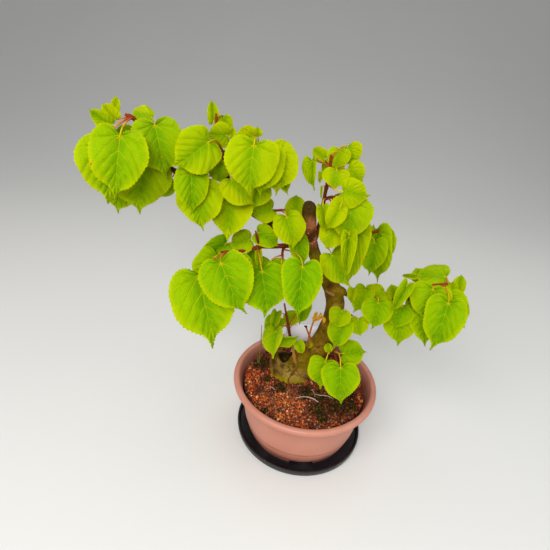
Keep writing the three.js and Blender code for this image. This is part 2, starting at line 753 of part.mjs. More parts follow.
const finishes = {
  bowl: new THREE.MeshStandardMaterial({ color: '#c07f6e', roughness: 0.5, metalness: 0 }),
  black: new THREE.MeshStandardMaterial({ color: '#141416', roughness: 0.35, metalness: 0 }),
  earth: new THREE.MeshStandardMaterial({ color: '#8a4a30', roughness: 0.95, metalness: 0 }),
  bark: new THREE.MeshStandardMaterial({ color: '#5c4a2c', roughness: 0.85, metalness: 0 }),
  leaf: new THREE.MeshStandardMaterial({ color: '#9cc414', roughness: 0.45, metalness: 0 }),
  dried: new THREE.MeshStandardMaterial({ color: '#b07a34', roughness: 0.8, metalness: 0 }),
  label: new THREE.MeshStandardMaterial({ color: '#e8e4f0', roughness: 0.5, metalness: 0 }),
};

function named(name, body, finish) {
  const mesh = new THREE.Mesh(geometryOf(body), finish);
  mesh.name = name;
  return mesh;
}

// The plant, its label and the grass stem stand in plain holes in the soil.
const label = plantLabel();
const standing = [
  grownWood,
  limb(grassStops, 5, 2, seat),
  stakeHole(),
];

const bonsai = new THREE.Group();
bonsai.add(named('saucer', turned(saucerOutline, 32), finishes.black));
bonsai.add(named('pot', pot(), finishes.bowl));
bonsai.add(named('soil', soil(standing), finishes.earth));
bonsai.add(named('trunk', wood().subtract(stumpHollow()), finishes.bark));
for (const [name, design] of Object.entries(sprays)) {
  bonsai.add(named(name, spray(design), finishes.leaf));
}
bonsai.add(named('dried_shoots', driedShoots(), finishes.dried));
bonsai.add(named('plant_label', label, finishes.label));
bonsai.add(named('grass_stem', limb(grassStops, 5, 2), finishes.dried));

export default bonsai;
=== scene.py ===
"""Small-leaved lime bonsai in a clay-coloured bowl: the look of each piece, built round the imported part.

Metres, +Z up, origin at the centre of the saucer's underside, front towards -Y.
"""

import math
import random

import bmesh
import bpy
import numpy as np
from mathutils import Euler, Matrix, Vector, kdtree, noise


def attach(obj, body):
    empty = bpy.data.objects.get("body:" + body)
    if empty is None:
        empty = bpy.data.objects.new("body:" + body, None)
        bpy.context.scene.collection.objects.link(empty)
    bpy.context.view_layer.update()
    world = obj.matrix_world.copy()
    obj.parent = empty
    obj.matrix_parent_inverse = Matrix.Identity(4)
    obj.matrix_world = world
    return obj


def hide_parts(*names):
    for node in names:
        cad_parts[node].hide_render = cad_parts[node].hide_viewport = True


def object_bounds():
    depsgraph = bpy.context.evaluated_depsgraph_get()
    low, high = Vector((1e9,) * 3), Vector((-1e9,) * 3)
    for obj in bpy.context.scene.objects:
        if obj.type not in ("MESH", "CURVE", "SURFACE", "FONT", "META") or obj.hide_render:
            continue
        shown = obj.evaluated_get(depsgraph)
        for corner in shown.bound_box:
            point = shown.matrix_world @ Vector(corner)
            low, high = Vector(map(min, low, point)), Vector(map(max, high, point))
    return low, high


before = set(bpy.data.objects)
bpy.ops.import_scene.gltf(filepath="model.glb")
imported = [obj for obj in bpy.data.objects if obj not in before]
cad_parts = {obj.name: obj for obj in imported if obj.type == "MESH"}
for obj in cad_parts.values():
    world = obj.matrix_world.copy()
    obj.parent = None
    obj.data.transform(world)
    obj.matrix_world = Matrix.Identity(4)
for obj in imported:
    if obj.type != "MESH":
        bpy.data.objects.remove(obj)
cad_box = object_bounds()
bpy.context.scene.view_settings.view_transform = "Standard"

# Saucer: a moulded black tray that catches what drains from the bowl.
# Semi-gloss plastic with a fine moulded grain, a raised ring that the bowl stands inside, and some
# dried water marks and crumbs of soil. It stands loose on the table, and the bowl stands loose in it.
MM = 0.001
lathe_sides = 128
saucer_base = 88.3
saucer_heel = 0.3
saucer_floor = 3
saucer_wall = [
    (89.6, 0.5), (90.3, 1.6), (90.7, 5), (90.95, 8), (90.8, 8.6), (90.2, 8.98), (89.4, 9), (88.6, 8.8),
    (88.2, 8.2), (87.9, 6), (87.5, 4.1), (86.9, 3.3), (85.8, saucer_floor), (20, saucer_floor),
    (19.5, 3.2), (18.5, 3.2), (18, saucer_floor),
]


def only(piece):
    """Selects this piece and nothing else, so that an operator acts on it alone."""
    bpy.ops.object.select_all(action="DESELECT")
    piece.select_set(True)
    bpy.context.view_layer.objects.active = piece
    return piece


def apply_place(piece):
    """Moves the object's own place, turn and size into its mesh."""
    only(piece)
    bpy.ops.object.transform_apply(location=True, rotation=True, scale=True)
    return piece


def add(primitive, **settings):
    """Adds a primitive with nothing else selected, and returns it."""
    bpy.ops.object.select_all(action="DESELECT")
    primitive(**settings)
    return bpy.context.object


def drum(name, radius, low, high):
    """A plain closed cylinder round the upright axis, in millimetres, ready to be drawn on."""
    piece = add(
        bpy.ops.mesh.primitive_cylinder_add,
        vertices=lathe_sides,
        radius=radius * MM,
        depth=(high - low) * MM,
        location=(0, 0, (low + high) / 2 * MM),
    )
    piece.name = name
    return apply_place(piece)


def select_end(piece, side):
    """Selects the end face of a round piece: side 1 is the top and -1 the underside."""
    form = bmesh.from_edit_mesh(piece.data)
    for element in [*form.verts, *form.edges, *form.faces]:
        element.select = False
    end = max(form.faces, key=lambda face: (len(face.verts), side * face.calc_center_median().z))
    end.select = True
    form.select_flush_mode()
    bmesh.update_edit_mesh(piece.data)


def draw_wall(piece, radius, height, stops):
    """Extrudes the top face on through (radius, height) stops, scaled to each radius in turn."""
    only(piece)
    bpy.ops.object.mode_set(mode="EDIT")
    bpy.ops.mesh.select_mode(type="FACE")
    select_end(piece, 1)
    for new_radius, new_height in stops:
        rise = (new_height - height) * MM
        bpy.ops.mesh.extrude_region_move(TRANSFORM_OT_translate={"value": (0, 0, rise)})
        part = new_radius / radius
        bpy.ops.transform.resize(value=(part, part, 1), center_override=(0, 0, new_height * MM))
        radius = new_radius
        height = new_height
    bpy.ops.object.mode_set(mode="OBJECT")


def apply_modifier(piece, kind, **settings):
    """Adds one modifier with these settings and applies it."""
    only(piece)
    modifier = piece.modifiers.new(kind.title(), kind)
    for key, value in settings.items():
        setattr(modifier, key, value)
    bpy.ops.object.modifier_apply(modifier=modifier.name)


def smooth(piece, degrees=40):
    """Shades smoothly across every edge flatter than this angle."""
    only(piece)
    bpy.ops.object.shade_smooth_by_angle(angle=math.radians(degrees))


def finish_with(piece, material):
    """Gives the piece this one material."""
    piece.data.materials.clear()
    piece.data.materials.append(material)


def srgb(*colour):
    """A colour given as 0 to 255 display values, as the linear colour that a shader takes."""
    return tuple(((c / 255 + 0.055) / 1.055) ** 2.4 if c > 10 else c / 255 / 12.92 for c in colour) + (1,)


class Pattern:
    """Places nodes in a tree and joins them up, a line of code for each."""

    def __init__(self, tree):
        self.tree = tree

    def node(self, kind, inputs=(), **settings):
        node = self.tree.nodes.new(kind)
        for key, value in settings.items():
            setattr(node, key, value)
        for key, value in dict(inputs).items():
            self.feed(node.inputs[key], value)
        return node

    def feed(self, socket, value):
        if isinstance(value, bpy.types.NodeSocket):
            self.tree.links.new(value, socket)
        else:
            socket.default_value = value

    def math(self, operation, first, second=0.0, third=0.0):
        inputs = {0: first, 1: second, 2: third}
        return self.node("ShaderNodeMath", inputs, operation=operation).outputs[0]

    def times(self, first, second):
        return self.math("MULTIPLY", first, second)

    def plus(self, first, second):
        return self.math("ADD", first, second)

    def times_plus(self, first, second, third):
        return self.math("MULTIPLY_ADD", first, second, third)

    def vector_math(self, operation, first, second=(0.0, 0.0, 0.0)):
        return self.node("ShaderNodeVectorMath", {0: first, 1: second}, operation=operation).outputs

    def reach(self, place, spot):
        """How far each place is from this spot, which is in millimetres."""
        return self.vector_math("DISTANCE", place, Vector(spot) * MM)[1]

    def axes(self, place):
        return self.node("ShaderNodeSeparateXYZ", {0: place}).outputs

    def clamp_between(self, value, low, high):
        inputs = {"Value": value, "From Min": low, "From Max": high}
        return self.node("ShaderNodeMapRange", inputs, interpolation_type="SMOOTHSTEP").outputs[0]

    def mix(self, share, first, second):
        return self.node("ShaderNodeMix", {0: share, 6: first, 7: second}, data_type="RGBA").outputs[2]

    def over(self, colour, share, strength, paint):
        """The colour with a paint laid over it, by its share of the surface and its strength."""
        return self.mix(self.times(share, strength), colour, paint)

    def noise(self, vector, scale, detail=3.0, roughness=0.5):
        inputs = {"Vector": vector, "Scale": scale, "Detail": detail, "Roughness": roughness}
        return self.node("ShaderNodeTexNoise", inputs).outputs["Fac"]

    def cells(self, vector, scale, feature="F1"):
        return self.node("ShaderNodeTexVoronoi", {"Vector": vector, "Scale": scale}, feature=feature).outputs

    def channel(self, colour, index):
        return self.node("ShaderNodeSeparateColor", {0: colour}).outputs[index]

    def ramp(self, value, stops, interpolation="LINEAR"):
        node = self.node("ShaderNodeValToRGB", {0: value})
        node.color_ramp.interpolation = interpolation
        while len(node.color_ramp.elements) < len(stops):
            node.color_ramp.elements.new(0.5)
        for element, (position, colour) in zip(node.color_ramp.elements, stops):
            element.position = position
            element.color = colour
        return node.outputs[0]

    def place(self):
        return self.node("ShaderNodeTexCoord").outputs["Object"]

    def mark(self, name):
        """The number of this name that the mesh carries at each point."""
        return self.node("ShaderNodeAttribute", attribute_name=name).outputs["Fac"]

    def coat(self, shader, colour, height, strength, depth):
        """Feeds the shader its colour and a relief of this height, strength and depth in metres."""
        inputs = {"Height": height, "Strength": strength, "Distance": depth}
        self.feed(shader.inputs["Base Color"], colour)
        self.feed(shader.inputs["Normal"], self.node("ShaderNodeBump", inputs).outputs[0])


def new_material(name, roughness):
    """A material with its shader, and the pattern that will feed it."""
    material = bpy.data.materials.new(name)
    material.use_nodes = True
    shader = material.node_tree.nodes["Principled BSDF"]
    shader.inputs["Roughness"].default_value = roughness
    return material, shader, Pattern(material.node_tree)


def dull(shader, level, tint=(255, 255, 255)):
    """Weakens the shader's shine to this level and gives it a tint."""
    shader.inputs["Specular IOR Level"].default_value = level
    shader.inputs["Specular Tint"].default_value = srgb(*tint)


def new_group(name, inputs, outputs):
    """An empty node group with named number inputs and outputs, and the pattern to fill it with."""
    group = bpy.data.node_groups.new(name, "ShaderNodeTree")
    for key, kind, start in inputs:
        socket = group.interface.new_socket(key, in_out="INPUT", socket_type=kind)
        if start is not None:
            socket.default_value = start
    for key, kind in outputs:
        group.interface.new_socket(key, in_out="OUTPUT", socket_type=kind)
    pattern = Pattern(group)
    return group, pattern, pattern.node("NodeGroupInput").outputs, pattern.node("NodeGroupOutput").inputs


def use_group(pattern, group, **inputs):
    """Places a group in a material with its own values, and returns its outputs."""
    node = pattern.node("ShaderNodeGroup")
    node.node_tree = group
    for key, value in inputs.items():
        pattern.feed(node.inputs[key], value)
    return node.outputs


# Fine moulded grain of plastic, with the dust and specks of soil that settle on it.
plastic_wear, wear, wear_in, wear_out = new_group(
    "plastic wear",
    [
        ("Place", "NodeSocketVector", None),
        ("Speck size", "NodeSocketFloat", 240.0),
        ("Dust", "NodeSocketFloat", 0.4),
    ],
    [("Grain", "NodeSocketFloat"), ("Dust", "NodeSocketFloat"), ("Specks", "NodeSocketFloat")],
)
wear.feed(wear_out["Grain"], wear.noise(wear_in["Place"], 900.0, 4.0, 0.6))
cloud = wear.noise(wear_in["Place"], 26.0, 6.0, 0.65)
wear.feed(wear_out["Dust"], wear.times(wear.clamp_between(cloud, 0.4, 0.75), wear_in["Dust"]))
cells = wear.cells(wear_in["Place"], wear_in["Speck size"])
near = wear.clamp_between(cells["Distance"], 0.2, 0.08)
chosen = wear.clamp_between(wear.channel(cells["Color"], 0), 0.955, 0.965)
wear.feed(wear_out["Specks"], wear.times(near, chosen))


def black_plastic():
    material, shader, pattern = new_material("black_saucer_plastic", 0.34)
    worn = use_group(pattern, plastic_wear, Place=pattern.place(), Dust=0.5)
    colour = pattern.mix(worn["Dust"], srgb(18, 18, 21), srgb(44, 43, 45))
    colour = pattern.mix(worn["Specks"], colour, srgb(120, 92, 70))
    pattern.feed(shader.inputs["Roughness"], pattern.times_plus(worn["Dust"], 0.5, 0.3))
    pattern.coat(shader, colour, worn["Grain"], 0.12, 0.0004)
    return material


saucer = drum("black_saucer", saucer_base, 0, saucer_heel)
draw_wall(saucer, saucer_base, saucer_heel, saucer_wall)
smooth(saucer)
finish_with(saucer, black_plastic())
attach(saucer, "root")
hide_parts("saucer")

# Bowl: injection-moulded in clay-coloured plastic, with a thick rolled lip and a faint mould line.
# It stands on a foot ring with four notches that let water out, and its floor has five drain holes.
# Satin plastic, darker on the inside wall as painted shade, with dust and specks near the lip.
foot_radius = 73
foot_width = 7
foot_low = 3.3
foot_step = 6
foot_high = 7.3
notch_size = (32, 14, 6)
notch_turn = 3
drain_radius = 4.5
drain_ring = 46
drain_depth = 12
drain_turn = 18
bowl_wall = [
    (73.5, 6.6), (73.5, 7.0), (72.9, 7.3), (72.9, 7.7), (74.4, 8.1), (75.3, 9.4), (77, 14), (79.6, 24),
    (80.9, 29.2), (81.25, 29.6), (81.3, 30.4), (82, 34), (84.6, 51), (87, 68), (88.3, 76), (88.9, 79),
    (89.9, 81), (92.6, 82.9), (96, 84.3), (98.4, 85.8), (99.6, 87.6), (99.95, 89.4), (99.7, 91.2),
    (98.9, 92.7), (97.6, 93.6), (96, 94), (94.2, 93.9), (92.8, 93.3), (91.9, 92.3), (91.3, 90.6),
    (90.4, 88), (89.2, 84.6), (88.3, 82), (86.2, 74), (84, 66), (81.6, 50), (79, 34), (76.6, 25),
    (74, 16), (71.8, 11.8), (68, 10.3),
]


def clay_plastic():
    material, shader, pattern = new_material("clay_bowl_plastic", 0.42)
    place = pattern.place()
    worn = use_group(pattern, plastic_wear, Place=place, Dust=0.5)
    tone = pattern.noise(place, 9.0, 2.0)
    colour = pattern.mix(tone, srgb(172, 109, 87), srgb(190, 125, 104))
    across, along, height = pattern.axes(place)
    reach = pattern.math("SQRT", pattern.plus(pattern.times(across, across), pattern.times(along, along)))
    inner_wall = pattern.times_plus(height, 0.176, 0.0745)
    # Painted shade: the inside wall of the bowl is darkened towards a deep red-brown.
    inside = pattern.clamp_between(pattern.math("SUBTRACT", reach, inner_wall), 0.0012, -0.0012)
    colour = pattern.over(colour, inside, 0.72, srgb(100, 42, 32))
    colour = pattern.over(colour, worn["Dust"], 0.5, srgb(204, 148, 128))
    colour = pattern.mix(worn["Specks"], colour, srgb(96, 50, 38))
    pattern.feed(shader.inputs["Roughness"], pattern.times_plus(worn["Dust"], 0.3, 0.45))
    pattern.coat(shader, colour, worn["Grain"], 0.1, 0.0004)
    return material


def cut_with(piece, cutter):
    """Cuts the cutter's shape out of the piece and throws the cutter away."""
    apply_modifier(piece, "BOOLEAN", object=cutter, operation="DIFFERENCE", solver="EXACT")
    bpy.data.objects.remove(cutter)


bowl = drum("clay_bowl", foot_radius, foot_low, foot_step)
draw_wall(bowl, foot_radius, foot_step, bowl_wall)
only(bowl)
bpy.ops.object.mode_set(mode="EDIT")
select_end(bowl, -1)
bpy.ops.mesh.inset(thickness=foot_width * MM)
bpy.ops.transform.translate(value=(0, 0, (foot_high - foot_low) * MM))
bpy.ops.object.mode_set(mode="OBJECT")
for quarter in range(4):
    turn = math.radians(90 * quarter + notch_turn)
    reach = foot_radius - foot_width / 2
    notch = add(bpy.ops.mesh.primitive_cube_add, size=MM)
    notch.location = Vector((reach * math.sin(turn), -reach * math.cos(turn), foot_low)) * MM
    notch.rotation_euler = (0, 0, turn)
    notch.scale = notch_size
    cut_with(bowl, apply_place(notch))
for fifth in range(5):
    turn = math.radians(72 * fifth + drain_turn)
    hole = add(
        bpy.ops.mesh.primitive_cylinder_add,
        vertices=32,
        radius=drain_radius * MM,
        depth=drain_depth * MM,
    )
    hole.location = Vector((drain_ring * math.cos(turn), drain_ring * math.sin(turn), foot_high)) * MM
    cut_with(bowl, apply_place(hole))
smooth(bowl)
finish_with(bowl, clay_plastic())
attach(bowl, "root")
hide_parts("pot")

# Soil: a coarse mix of baked clay granules from brick red to orange, with cream grains and dark crumbs.
# It is heaped towards the trunk and lower at the back on the right, and fills the bowl from its floor.
# A fine-grained bed carries four thousand loose granules, each about 1 to 4 mm across.
soil_level = 82
soil_heap = 9
soil_heap_place = (-8, 6)
soil_heap_width = 45
soil_dip = 5
soil_dip_start = 20
soil_dip_run = 55
soil_radius = 85
bed_foot = (67, 10.7)
bed_heel = 12
bed_wall = [(73.4, 16), (78.4, 34), (83.4, 66), (84.6, 70), (soil_radius, 77)]
bed_rings = 34
granule_count = 4000
granule_kinds = 8
granule_smallest = 0.6
granule_largest = 1.85
granule_reach = 83.5
granule_sink = 0.6
granule_lift = (-0.6, 0.9)
granule_shape = (0.75, 1.25)
moss_cover = 0.85
moss_ragged = 0.35
trunk_foot = (-14, 9, 21)
stump_foot = (-33, 13, 15)
# Places where the soil is painted darker: damp patches by the moss, and painted shade round the foot of the
# trunk.
damp_and_shaded_places = [
    (46, -46, 30), (16, -52, 20), (14, -22, 20), (-62, 30, 24), (24, 34, 26), (-28, -20, 13), (-8, -25, 21),
]
paler_soil_place = (-30, -44, 84)
mossy = [
    (44, -42, 19), (62, -36, 13), (17, -50, 13), (3, -25, 12), (22, -28, 12), (-63, 30, 14), (64, -15, 10),
    (-34, -20, 8), (22, -64, 8), (-53, -62, 6), (-52, -4, 6),
]


def soil_height(x, y):
    """Height of the soil's surface at a place, in millimetres, as the packed soil has it."""
    away = math.dist((x, y), soil_heap_place) / soil_heap_width
    back = min(max((0.6 * x + 0.8 * y - soil_dip_start) / soil_dip_run, 0), 1)
    return soil_level - 1 + soil_heap * math.exp(-(away**2)) - soil_dip * back * back * (3 - 2 * back)


def moss_share(x, y):
    """How mossy a place is, from 0 to 1 at the middle of a patch."""
    ragged = moss_ragged * noise.noise(Vector((x, y, 0)) / 6)
    return max(0.0, max(1.25 - math.hypot(x - mx, y - my) / size for mx, my, size in mossy) + ragged)


def soil_bed():
    """The body of the soil, with a surface of fine rings that follows the heap."""
    bed = drum("soil_bed", *bed_foot, bed_heel)
    draw_wall(bed, bed_foot[0], bed_heel, bed_wall)
    only(bed)
    bpy.ops.object.mode_set(mode="EDIT")
    bpy.ops.mesh.select_mode(type="FACE")
    select_end(bed, 1)
    for ring in range(bed_rings - 1):
        bpy.ops.mesh.inset(thickness=soil_radius / bed_rings * MM)
    bpy.ops.object.mode_set(mode="OBJECT")
    for vertex in bed.data.vertices:
        x, y, z = vertex.co / MM
        if z > bed_wall[-1][1] - 0.1:
            crumb = 0.5 * noise.noise(Vector((x, y, 3)) / 2.2) + 0.5 * noise.noise(Vector((x, y, 9)) / 6)
            edge = -1.5 if math.hypot(x, y) > soil_radius - 1 else 0
            vertex.co.z = (soil_height(x, y) - 1.0 + crumb + edge) * MM
    return bed


def granule(seed):
    """One angular granule, a millimetre in radius, to be copied."""
    grain = add(bpy.ops.mesh.primitive_cube_add, size=1.3)
    bpy.ops.object.mode_set(mode="EDIT")
    bpy.ops.mesh.select_all(action="SELECT")
    bpy.ops.mesh.subdivide(number_cuts=1, smoothness=0.9)
    bpy.ops.object.mode_set(mode="OBJECT")
    draw = random.Random(seed)
    for vertex in grain.data.vertices:
        vertex.co *= draw.uniform(0.78, 1.12)
    return grain


def mark_points(mesh, name, values):
    """Stores a number of this name on each point of the mesh, for its material to read."""
    mesh.attributes.new(name, "FLOAT", "POINT").data.foreach_set("value", values)


def copies(name, models, placings):
    """One mesh of many copies. Each placing is (model, place, turn, scale, tint), in metres."""
    points = []
    faces = []
    tints = []
    forms = [np.array([v.co[:] for v in model.data.vertices]) for model in models]
    loops = [[tuple(face.vertices) for face in model.data.polygons] for model in models]
    count = 0
    for model, place, turn, scale, tint in placings:
        turned = (forms[model] * np.array(scale)) @ np.array(Euler(turn).to_matrix()).T + np.array(place)
        points.append(turned)
        faces.extend([tuple(v + count for v in loop) for loop in loops[model]])
        tints.extend([tint] * len(turned))
        count += len(turned)
    mesh = bpy.data.meshes.new(name)
    mesh.from_pydata(np.concatenate(points).tolist(), [], faces)
    mark_points(mesh, "tint", tints)
    for model in models:
        bpy.data.objects.remove(model)
    piece = bpy.data.objects.new(name, mesh)
    bpy.context.collection.objects.link(piece)
    return piece


def loose_granules():
    """Granules all over the bed, clear of the wood and few in the moss, each turned its own way."""
    models = [granule(seed) for seed in range(granule_kinds)]
    draw = random.Random(41)
    placings = []
    while len(placings) < granule_count:
        reach = granule_reach * math.sqrt(draw.random())
        turn = draw.uniform(0, 2 * math.pi)
        x, y = reach * math.cos(turn), reach * math.sin(turn)
        blocked = any(math.dist((x, y), foot[:2]) < foot[2] for foot in (trunk_foot, stump_foot))
        if blocked or draw.random() < moss_cover * min(1, moss_share(x, y)):
            continue
        size = granule_smallest + (granule_largest - granule_smallest) * draw.random() ** 1.6
        scale = [size * draw.uniform(*granule_shape) * MM for axis in range(3)]
        lift = draw.uniform(*granule_lift)
        spin = [draw.uniform(0, 2 * math.pi) for axis in range(3)]
        place = (x * MM, y * MM, (soil_height(x, y) - granule_sink + lift) * MM)
        placings.append((draw.randrange(granule_kinds), place, spin, scale, draw.random()))
    return copies("soil_granules", models, placings)


def baked_clay():
    material, shader, pattern = new_material("baked_clay_granules", 0.9)
    place = pattern.place()
    kinds = [
        (0.0, srgb(158, 60, 20)), (0.26, srgb(198, 88, 32)), (0.47, srgb(112, 38, 15)),
        (0.62, srgb(218, 114, 52)), (0.75, srgb(40, 18, 9)), (0.87, srgb(226, 148, 84)),
        (0.94, srgb(238, 202, 150)), (0.968, srgb(150, 72, 32)),
    ]
    colour = pattern.ramp(pattern.mark("tint"), kinds, "CONSTANT")
    mottle = pattern.clamp_between(pattern.noise(place, 900.0, 3.0, 0.6), 0.35, 0.7)
    colour = pattern.over(colour, mottle, 0.45, srgb(92, 40, 18))
    damp = pattern.clamp_between(pattern.noise(place, 34.0, 3.0, 0.6), 0.46, 0.66)
    # Darker soil round these places, partly damp patches and partly painted shade round the foot of the
    # trunk.
    for x, y, size in damp_and_shaded_places:
        away = pattern.reach(place, (x, y, soil_level + 2))
        near = pattern.clamp_between(away, size * MM, 0.55 * size * MM)
        damp = pattern.math("MAXIMUM", damp, near)
    colour = pattern.over(colour, damp, 0.72, srgb(46, 20, 8))
    # Painted shade: darker brown in the gaps between clumps of granules.
    clump_gap_shade = pattern.clamp_between(pattern.noise(place, 150.0, 2.0, 0.5), 0.5, 0.62)
    colour = pattern.over(colour, clump_gap_shade, 0.42, srgb(70, 24, 8))
    # Lighter orange towards the front left of the heap.
    ragged_reach = pattern.times_plus(mottle, 0.012, pattern.reach(place, paler_soil_place))
    colour = pattern.over(colour, pattern.clamp_between(ragged_reach, 0.05, 0.016), 0.14, srgb(236, 150, 84))
    pattern.coat(shader, colour, pattern.noise(place, 2200.0, 3.0, 0.7), 0.5, 0.0003)
    dull(shader, 0.15)
    return material


def damp_bed():
    material, shader, pattern = new_material("damp_soil_bed", 0.95)
    place = pattern.place()
    crumbs = pattern.cells(place, 430.0)
    kinds = [
        (0.0, srgb(116, 48, 18)), (0.3, srgb(58, 26, 14)), (0.5, srgb(156, 74, 28)), (0.7, srgb(84, 36, 18)),
        (0.9, srgb(190, 120, 66)),
    ]
    colour = pattern.ramp(pattern.channel(crumbs["Color"], 0), kinds, "CONSTANT")
    # Painted shade: darker in the gaps between the crumbs.
    hollow = pattern.clamp_between(crumbs["Distance"], 0.35, 0.75)
    colour = pattern.mix(hollow, colour, srgb(32, 15, 8))
    pattern.coat(shader, colour, hollow, -0.8, 0.001)
    return material


bed = soil_bed()
smooth(bed, 60)
finish_with(bed, damp_bed())
granules = loose_granules()
smooth(granules, 50)
finish_with(granules, baked_clay())
for piece in (bed, granules):
    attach(piece, "root")
    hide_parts("soil")

# Moss: low dark green cushions that have grown over the damp places round the trunk and at the edge.
# Each is a clump of short pointed shoots, packed close and rooted in the soil.
tuft_count = 2800
tuft_kinds = 5
tuft_height = 2.6
tuft_width = 1.8
tuft_lean = 0.4
tuft_sink = 0.4
moss_spread = 0.55
moss_least = 0.25
moss_reach = 83


def tuft(seed):
    """A tuft of moss: a blunt spike drawn out of a small six-sided cone."""
    shoot = add(bpy.ops.mesh.primitive_cone_add, vertices=6, radius1=0.55, radius2=0.12, depth=1)
    draw = random.Random(seed)
    bpy.ops.object.mode_set(mode="EDIT")
    bpy.ops.mesh.select_all(action="SELECT")
    bpy.ops.mesh.subdivide(number_cuts=1)
    bpy.ops.object.mode_set(mode="OBJECT")
    for vertex in shoot.data.vertices:
        vertex.co.x *= draw.uniform(0.6, 1.3)
        vertex.co.y *= draw.uniform(0.6, 1.3)
    return shoot


def moss_cushions():
    """Shoots crowded round the middles of the mossy places, taller where the moss is thick."""
    models = [tuft(seed) for seed in range(tuft_kinds)]
    draw = random.Random(97)
    placings = []
    while len(placings) < tuft_count:
        mx, my, size = draw.choice(mossy)
        x = mx + size * draw.gauss(0, moss_spread)
        y = my + size * draw.gauss(0, moss_spread)
        share = moss_share(x, y)
        on_wood = math.dist((x, y), trunk_foot[:2]) < trunk_foot[2] - 3
        if share < moss_least or on_wood or math.hypot(x, y) > moss_reach:
            continue
        height = tuft_height * draw.uniform(0.5, 1.0) * min(1, 0.4 + share)
        scale = (tuft_width * MM, tuft_width * MM, height * MM)
        lean = (draw.gauss(0, tuft_lean), draw.gauss(0, tuft_lean), draw.uniform(0, 6))
        place = (x * MM, y * MM, (soil_height(x, y) - tuft_sink + height / 3) * MM)
        placings.append((draw.randrange(tuft_kinds), place, lean, scale, draw.random()))
    return copies("moss_cushions", models, placings)


def moss():
    material, shader, pattern = new_material("dark_moss", 0.95)
    place = pattern.place()
    shades = [
        (0.0, srgb(26, 18, 6)), (0.5, srgb(46, 36, 8)), (0.8, srgb(66, 58, 10)), (1.0, srgb(96, 86, 18)),
    ]
    colour = pattern.ramp(pattern.mark("tint"), shades)
    grime = pattern.clamp_between(pattern.noise(place, 160.0), 0.4, 0.65)
    colour = pattern.over(colour, grime, 0.7, srgb(34, 20, 12))
    pattern.coat(shader, colour, pattern.noise(place, 1800.0, 2.0), 0.6, 0.0004)
    dull(shader, 0.1)
    return material


cushions = moss_cushions()
smooth(cushions, 60)
finish_with(cushions, moss())
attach(cushions, "root")

# Trunk: the lime's own wood, grown as one piece, from the flared roots and an old hollow stump on
# the left, through a leaning trunk with a sawn top, to one long branch that is led out to the left.
# Thin olive-brown bark with shallow fissures, mossy at the foot, and pinkish where it has healed.
trunk_stops = [
    (-20, 11, 60, 21), (-19, 12, 82, 25.5), (-11, 11, 98, 23), (1, 10, 116, 19), (13, 10, 136, 16.5),
    (21, 12, 158, 14), (26, 12, 187, 12.6), (25, 12, 212, 11.6), (20, 10, 228, 11),
    (11.5, 8, 243, 9.8), (3, 5, 257, 8.8), (-6, 3, 271, 7.4), (-13, 0, 285, 6.9),
    (-18, -2, 298, 7.4), (-21, -4, 312, 8), (-24, -5, 327, 7.9), (-26, -6, 350, 7.2),
]
stump_stops = [(-24, 6, 64, 14), (-32, 12, 84, 17), (-36, 18, 99, 15), (-35, 22, 112, 11)]
root_stops = [
    [(-16, 4, 98, 12), (-25, -3, 84, 10), (-28, -8, 70, 7)],
    [(4, 14, 100, 11), (14, 17, 88, 8), (23, 20, 72, 6)],
    [(-4, 20, 98, 11), (4, 31, 84, 8.5), (9, 38, 70, 6)],
]
left_branch_stops = [
    (-19, -2, 300, 6), (-40, 2, 303, 5.4), (-59, 4, 311, 5), (-77, 4, 320, 4.8), (-92, 2, 330, 4.8),
    (-105, -2, 341, 4.6), (-117, -6, 352, 4.4), (-134, -8, 355, 3.7), (-153, -12, 362, 3.4),
    (-166, -15, 367, 3.1),
]
stub_stops = [
    [(-122, -7, 353, 3.8), (-129, -10, 351, 3.2), (-137, -12, 349, 1.6)],
    [(18, 10, 231, 8), (29, 8, 231, 6), (35, 7, 230, 3.4)],
]
hollow_place = (-29, 15, 112)
hollow_size = (11, 9, 13)
sawn_through = (-26, -6, 342)
sawn_slant = math.radians(35)
sawn_up = (0, -math.sin(sawn_slant), math.cos(sawn_slant))
saw_passes = [(20, 30, 15), (5, 1.6, 0)]
joint_grain = 1.1
bark_grain = 0.8
fissure_width = 2.6
fissure_length = 11
old_bark_top = 125
old_bark_fade = 25
buried_top = 104
buried_fade = 18
brown_from = 288
brown_to = 310
blushed = (-20, -9, 313)
healed = [((10, 0, 233), 1.5), ((14, -1, 232), 1.5), ((18, -1, 230.5), 1.5), ((24, 0, 214), 3)]
calluses = [
    ((21, 0, 216), 5, 1.1), ((-27, 3, 98), 4, -1.2), ((17, -4, 180), 4, 0.6), ((-22, -10, 296), 4, 0.7),
    ((6, -5, 128), 5, 0.7), ((-60, 0, 312), 3, 0.6), ((-104, -6, 340), 3, 0.7), ((10, 0, 233), 2.5, 0.7),
    ((14, -1, 232), 2.5, 0.8), ((18, -1, 230.5), 2.5, 0.7), ((-33, 2, 104), 3, -1.5),
    ((-40, 6, 108), 3, 1.2),
]
limbs = [trunk_stops, stump_stops, *root_stops, left_branch_stops, *stub_stops]


def route_point(stops, share):
    """The place and radius at a share of the smooth route through these [x, y, z, radius] stops."""
    stops = np.array(stops, float)
    spans = len(stops) - 1
    span = min(int(share * spans), spans - 1)
    t = share * spans - span
    start, end = stops[span], stops[span + 1]
    before = stops[span - 1] if span else 2 * start - end
    after = stops[span + 2] if span + 2 <= spans else 2 * end - start
    pairs = ((before, start), (start, end), (end, after))
    first, middle, last = (math.sqrt(np.linalg.norm((b - a)[:3])) for a, b in pairs)
    leaving = ((start - before) / first - (end - before) / (first + middle)) * middle + end - start
    arriving = ((after - end) / last - (after - start) / (middle + last)) * middle + end - start
    place = start + leaving * t + (3 * (end - start) - 2 * leaving - arriving) * t**2
    place += (2 * (start - end) + leaving + arriving) * t**3
    place[3] = start[3] + (end[3] - start[3]) * t
    return place


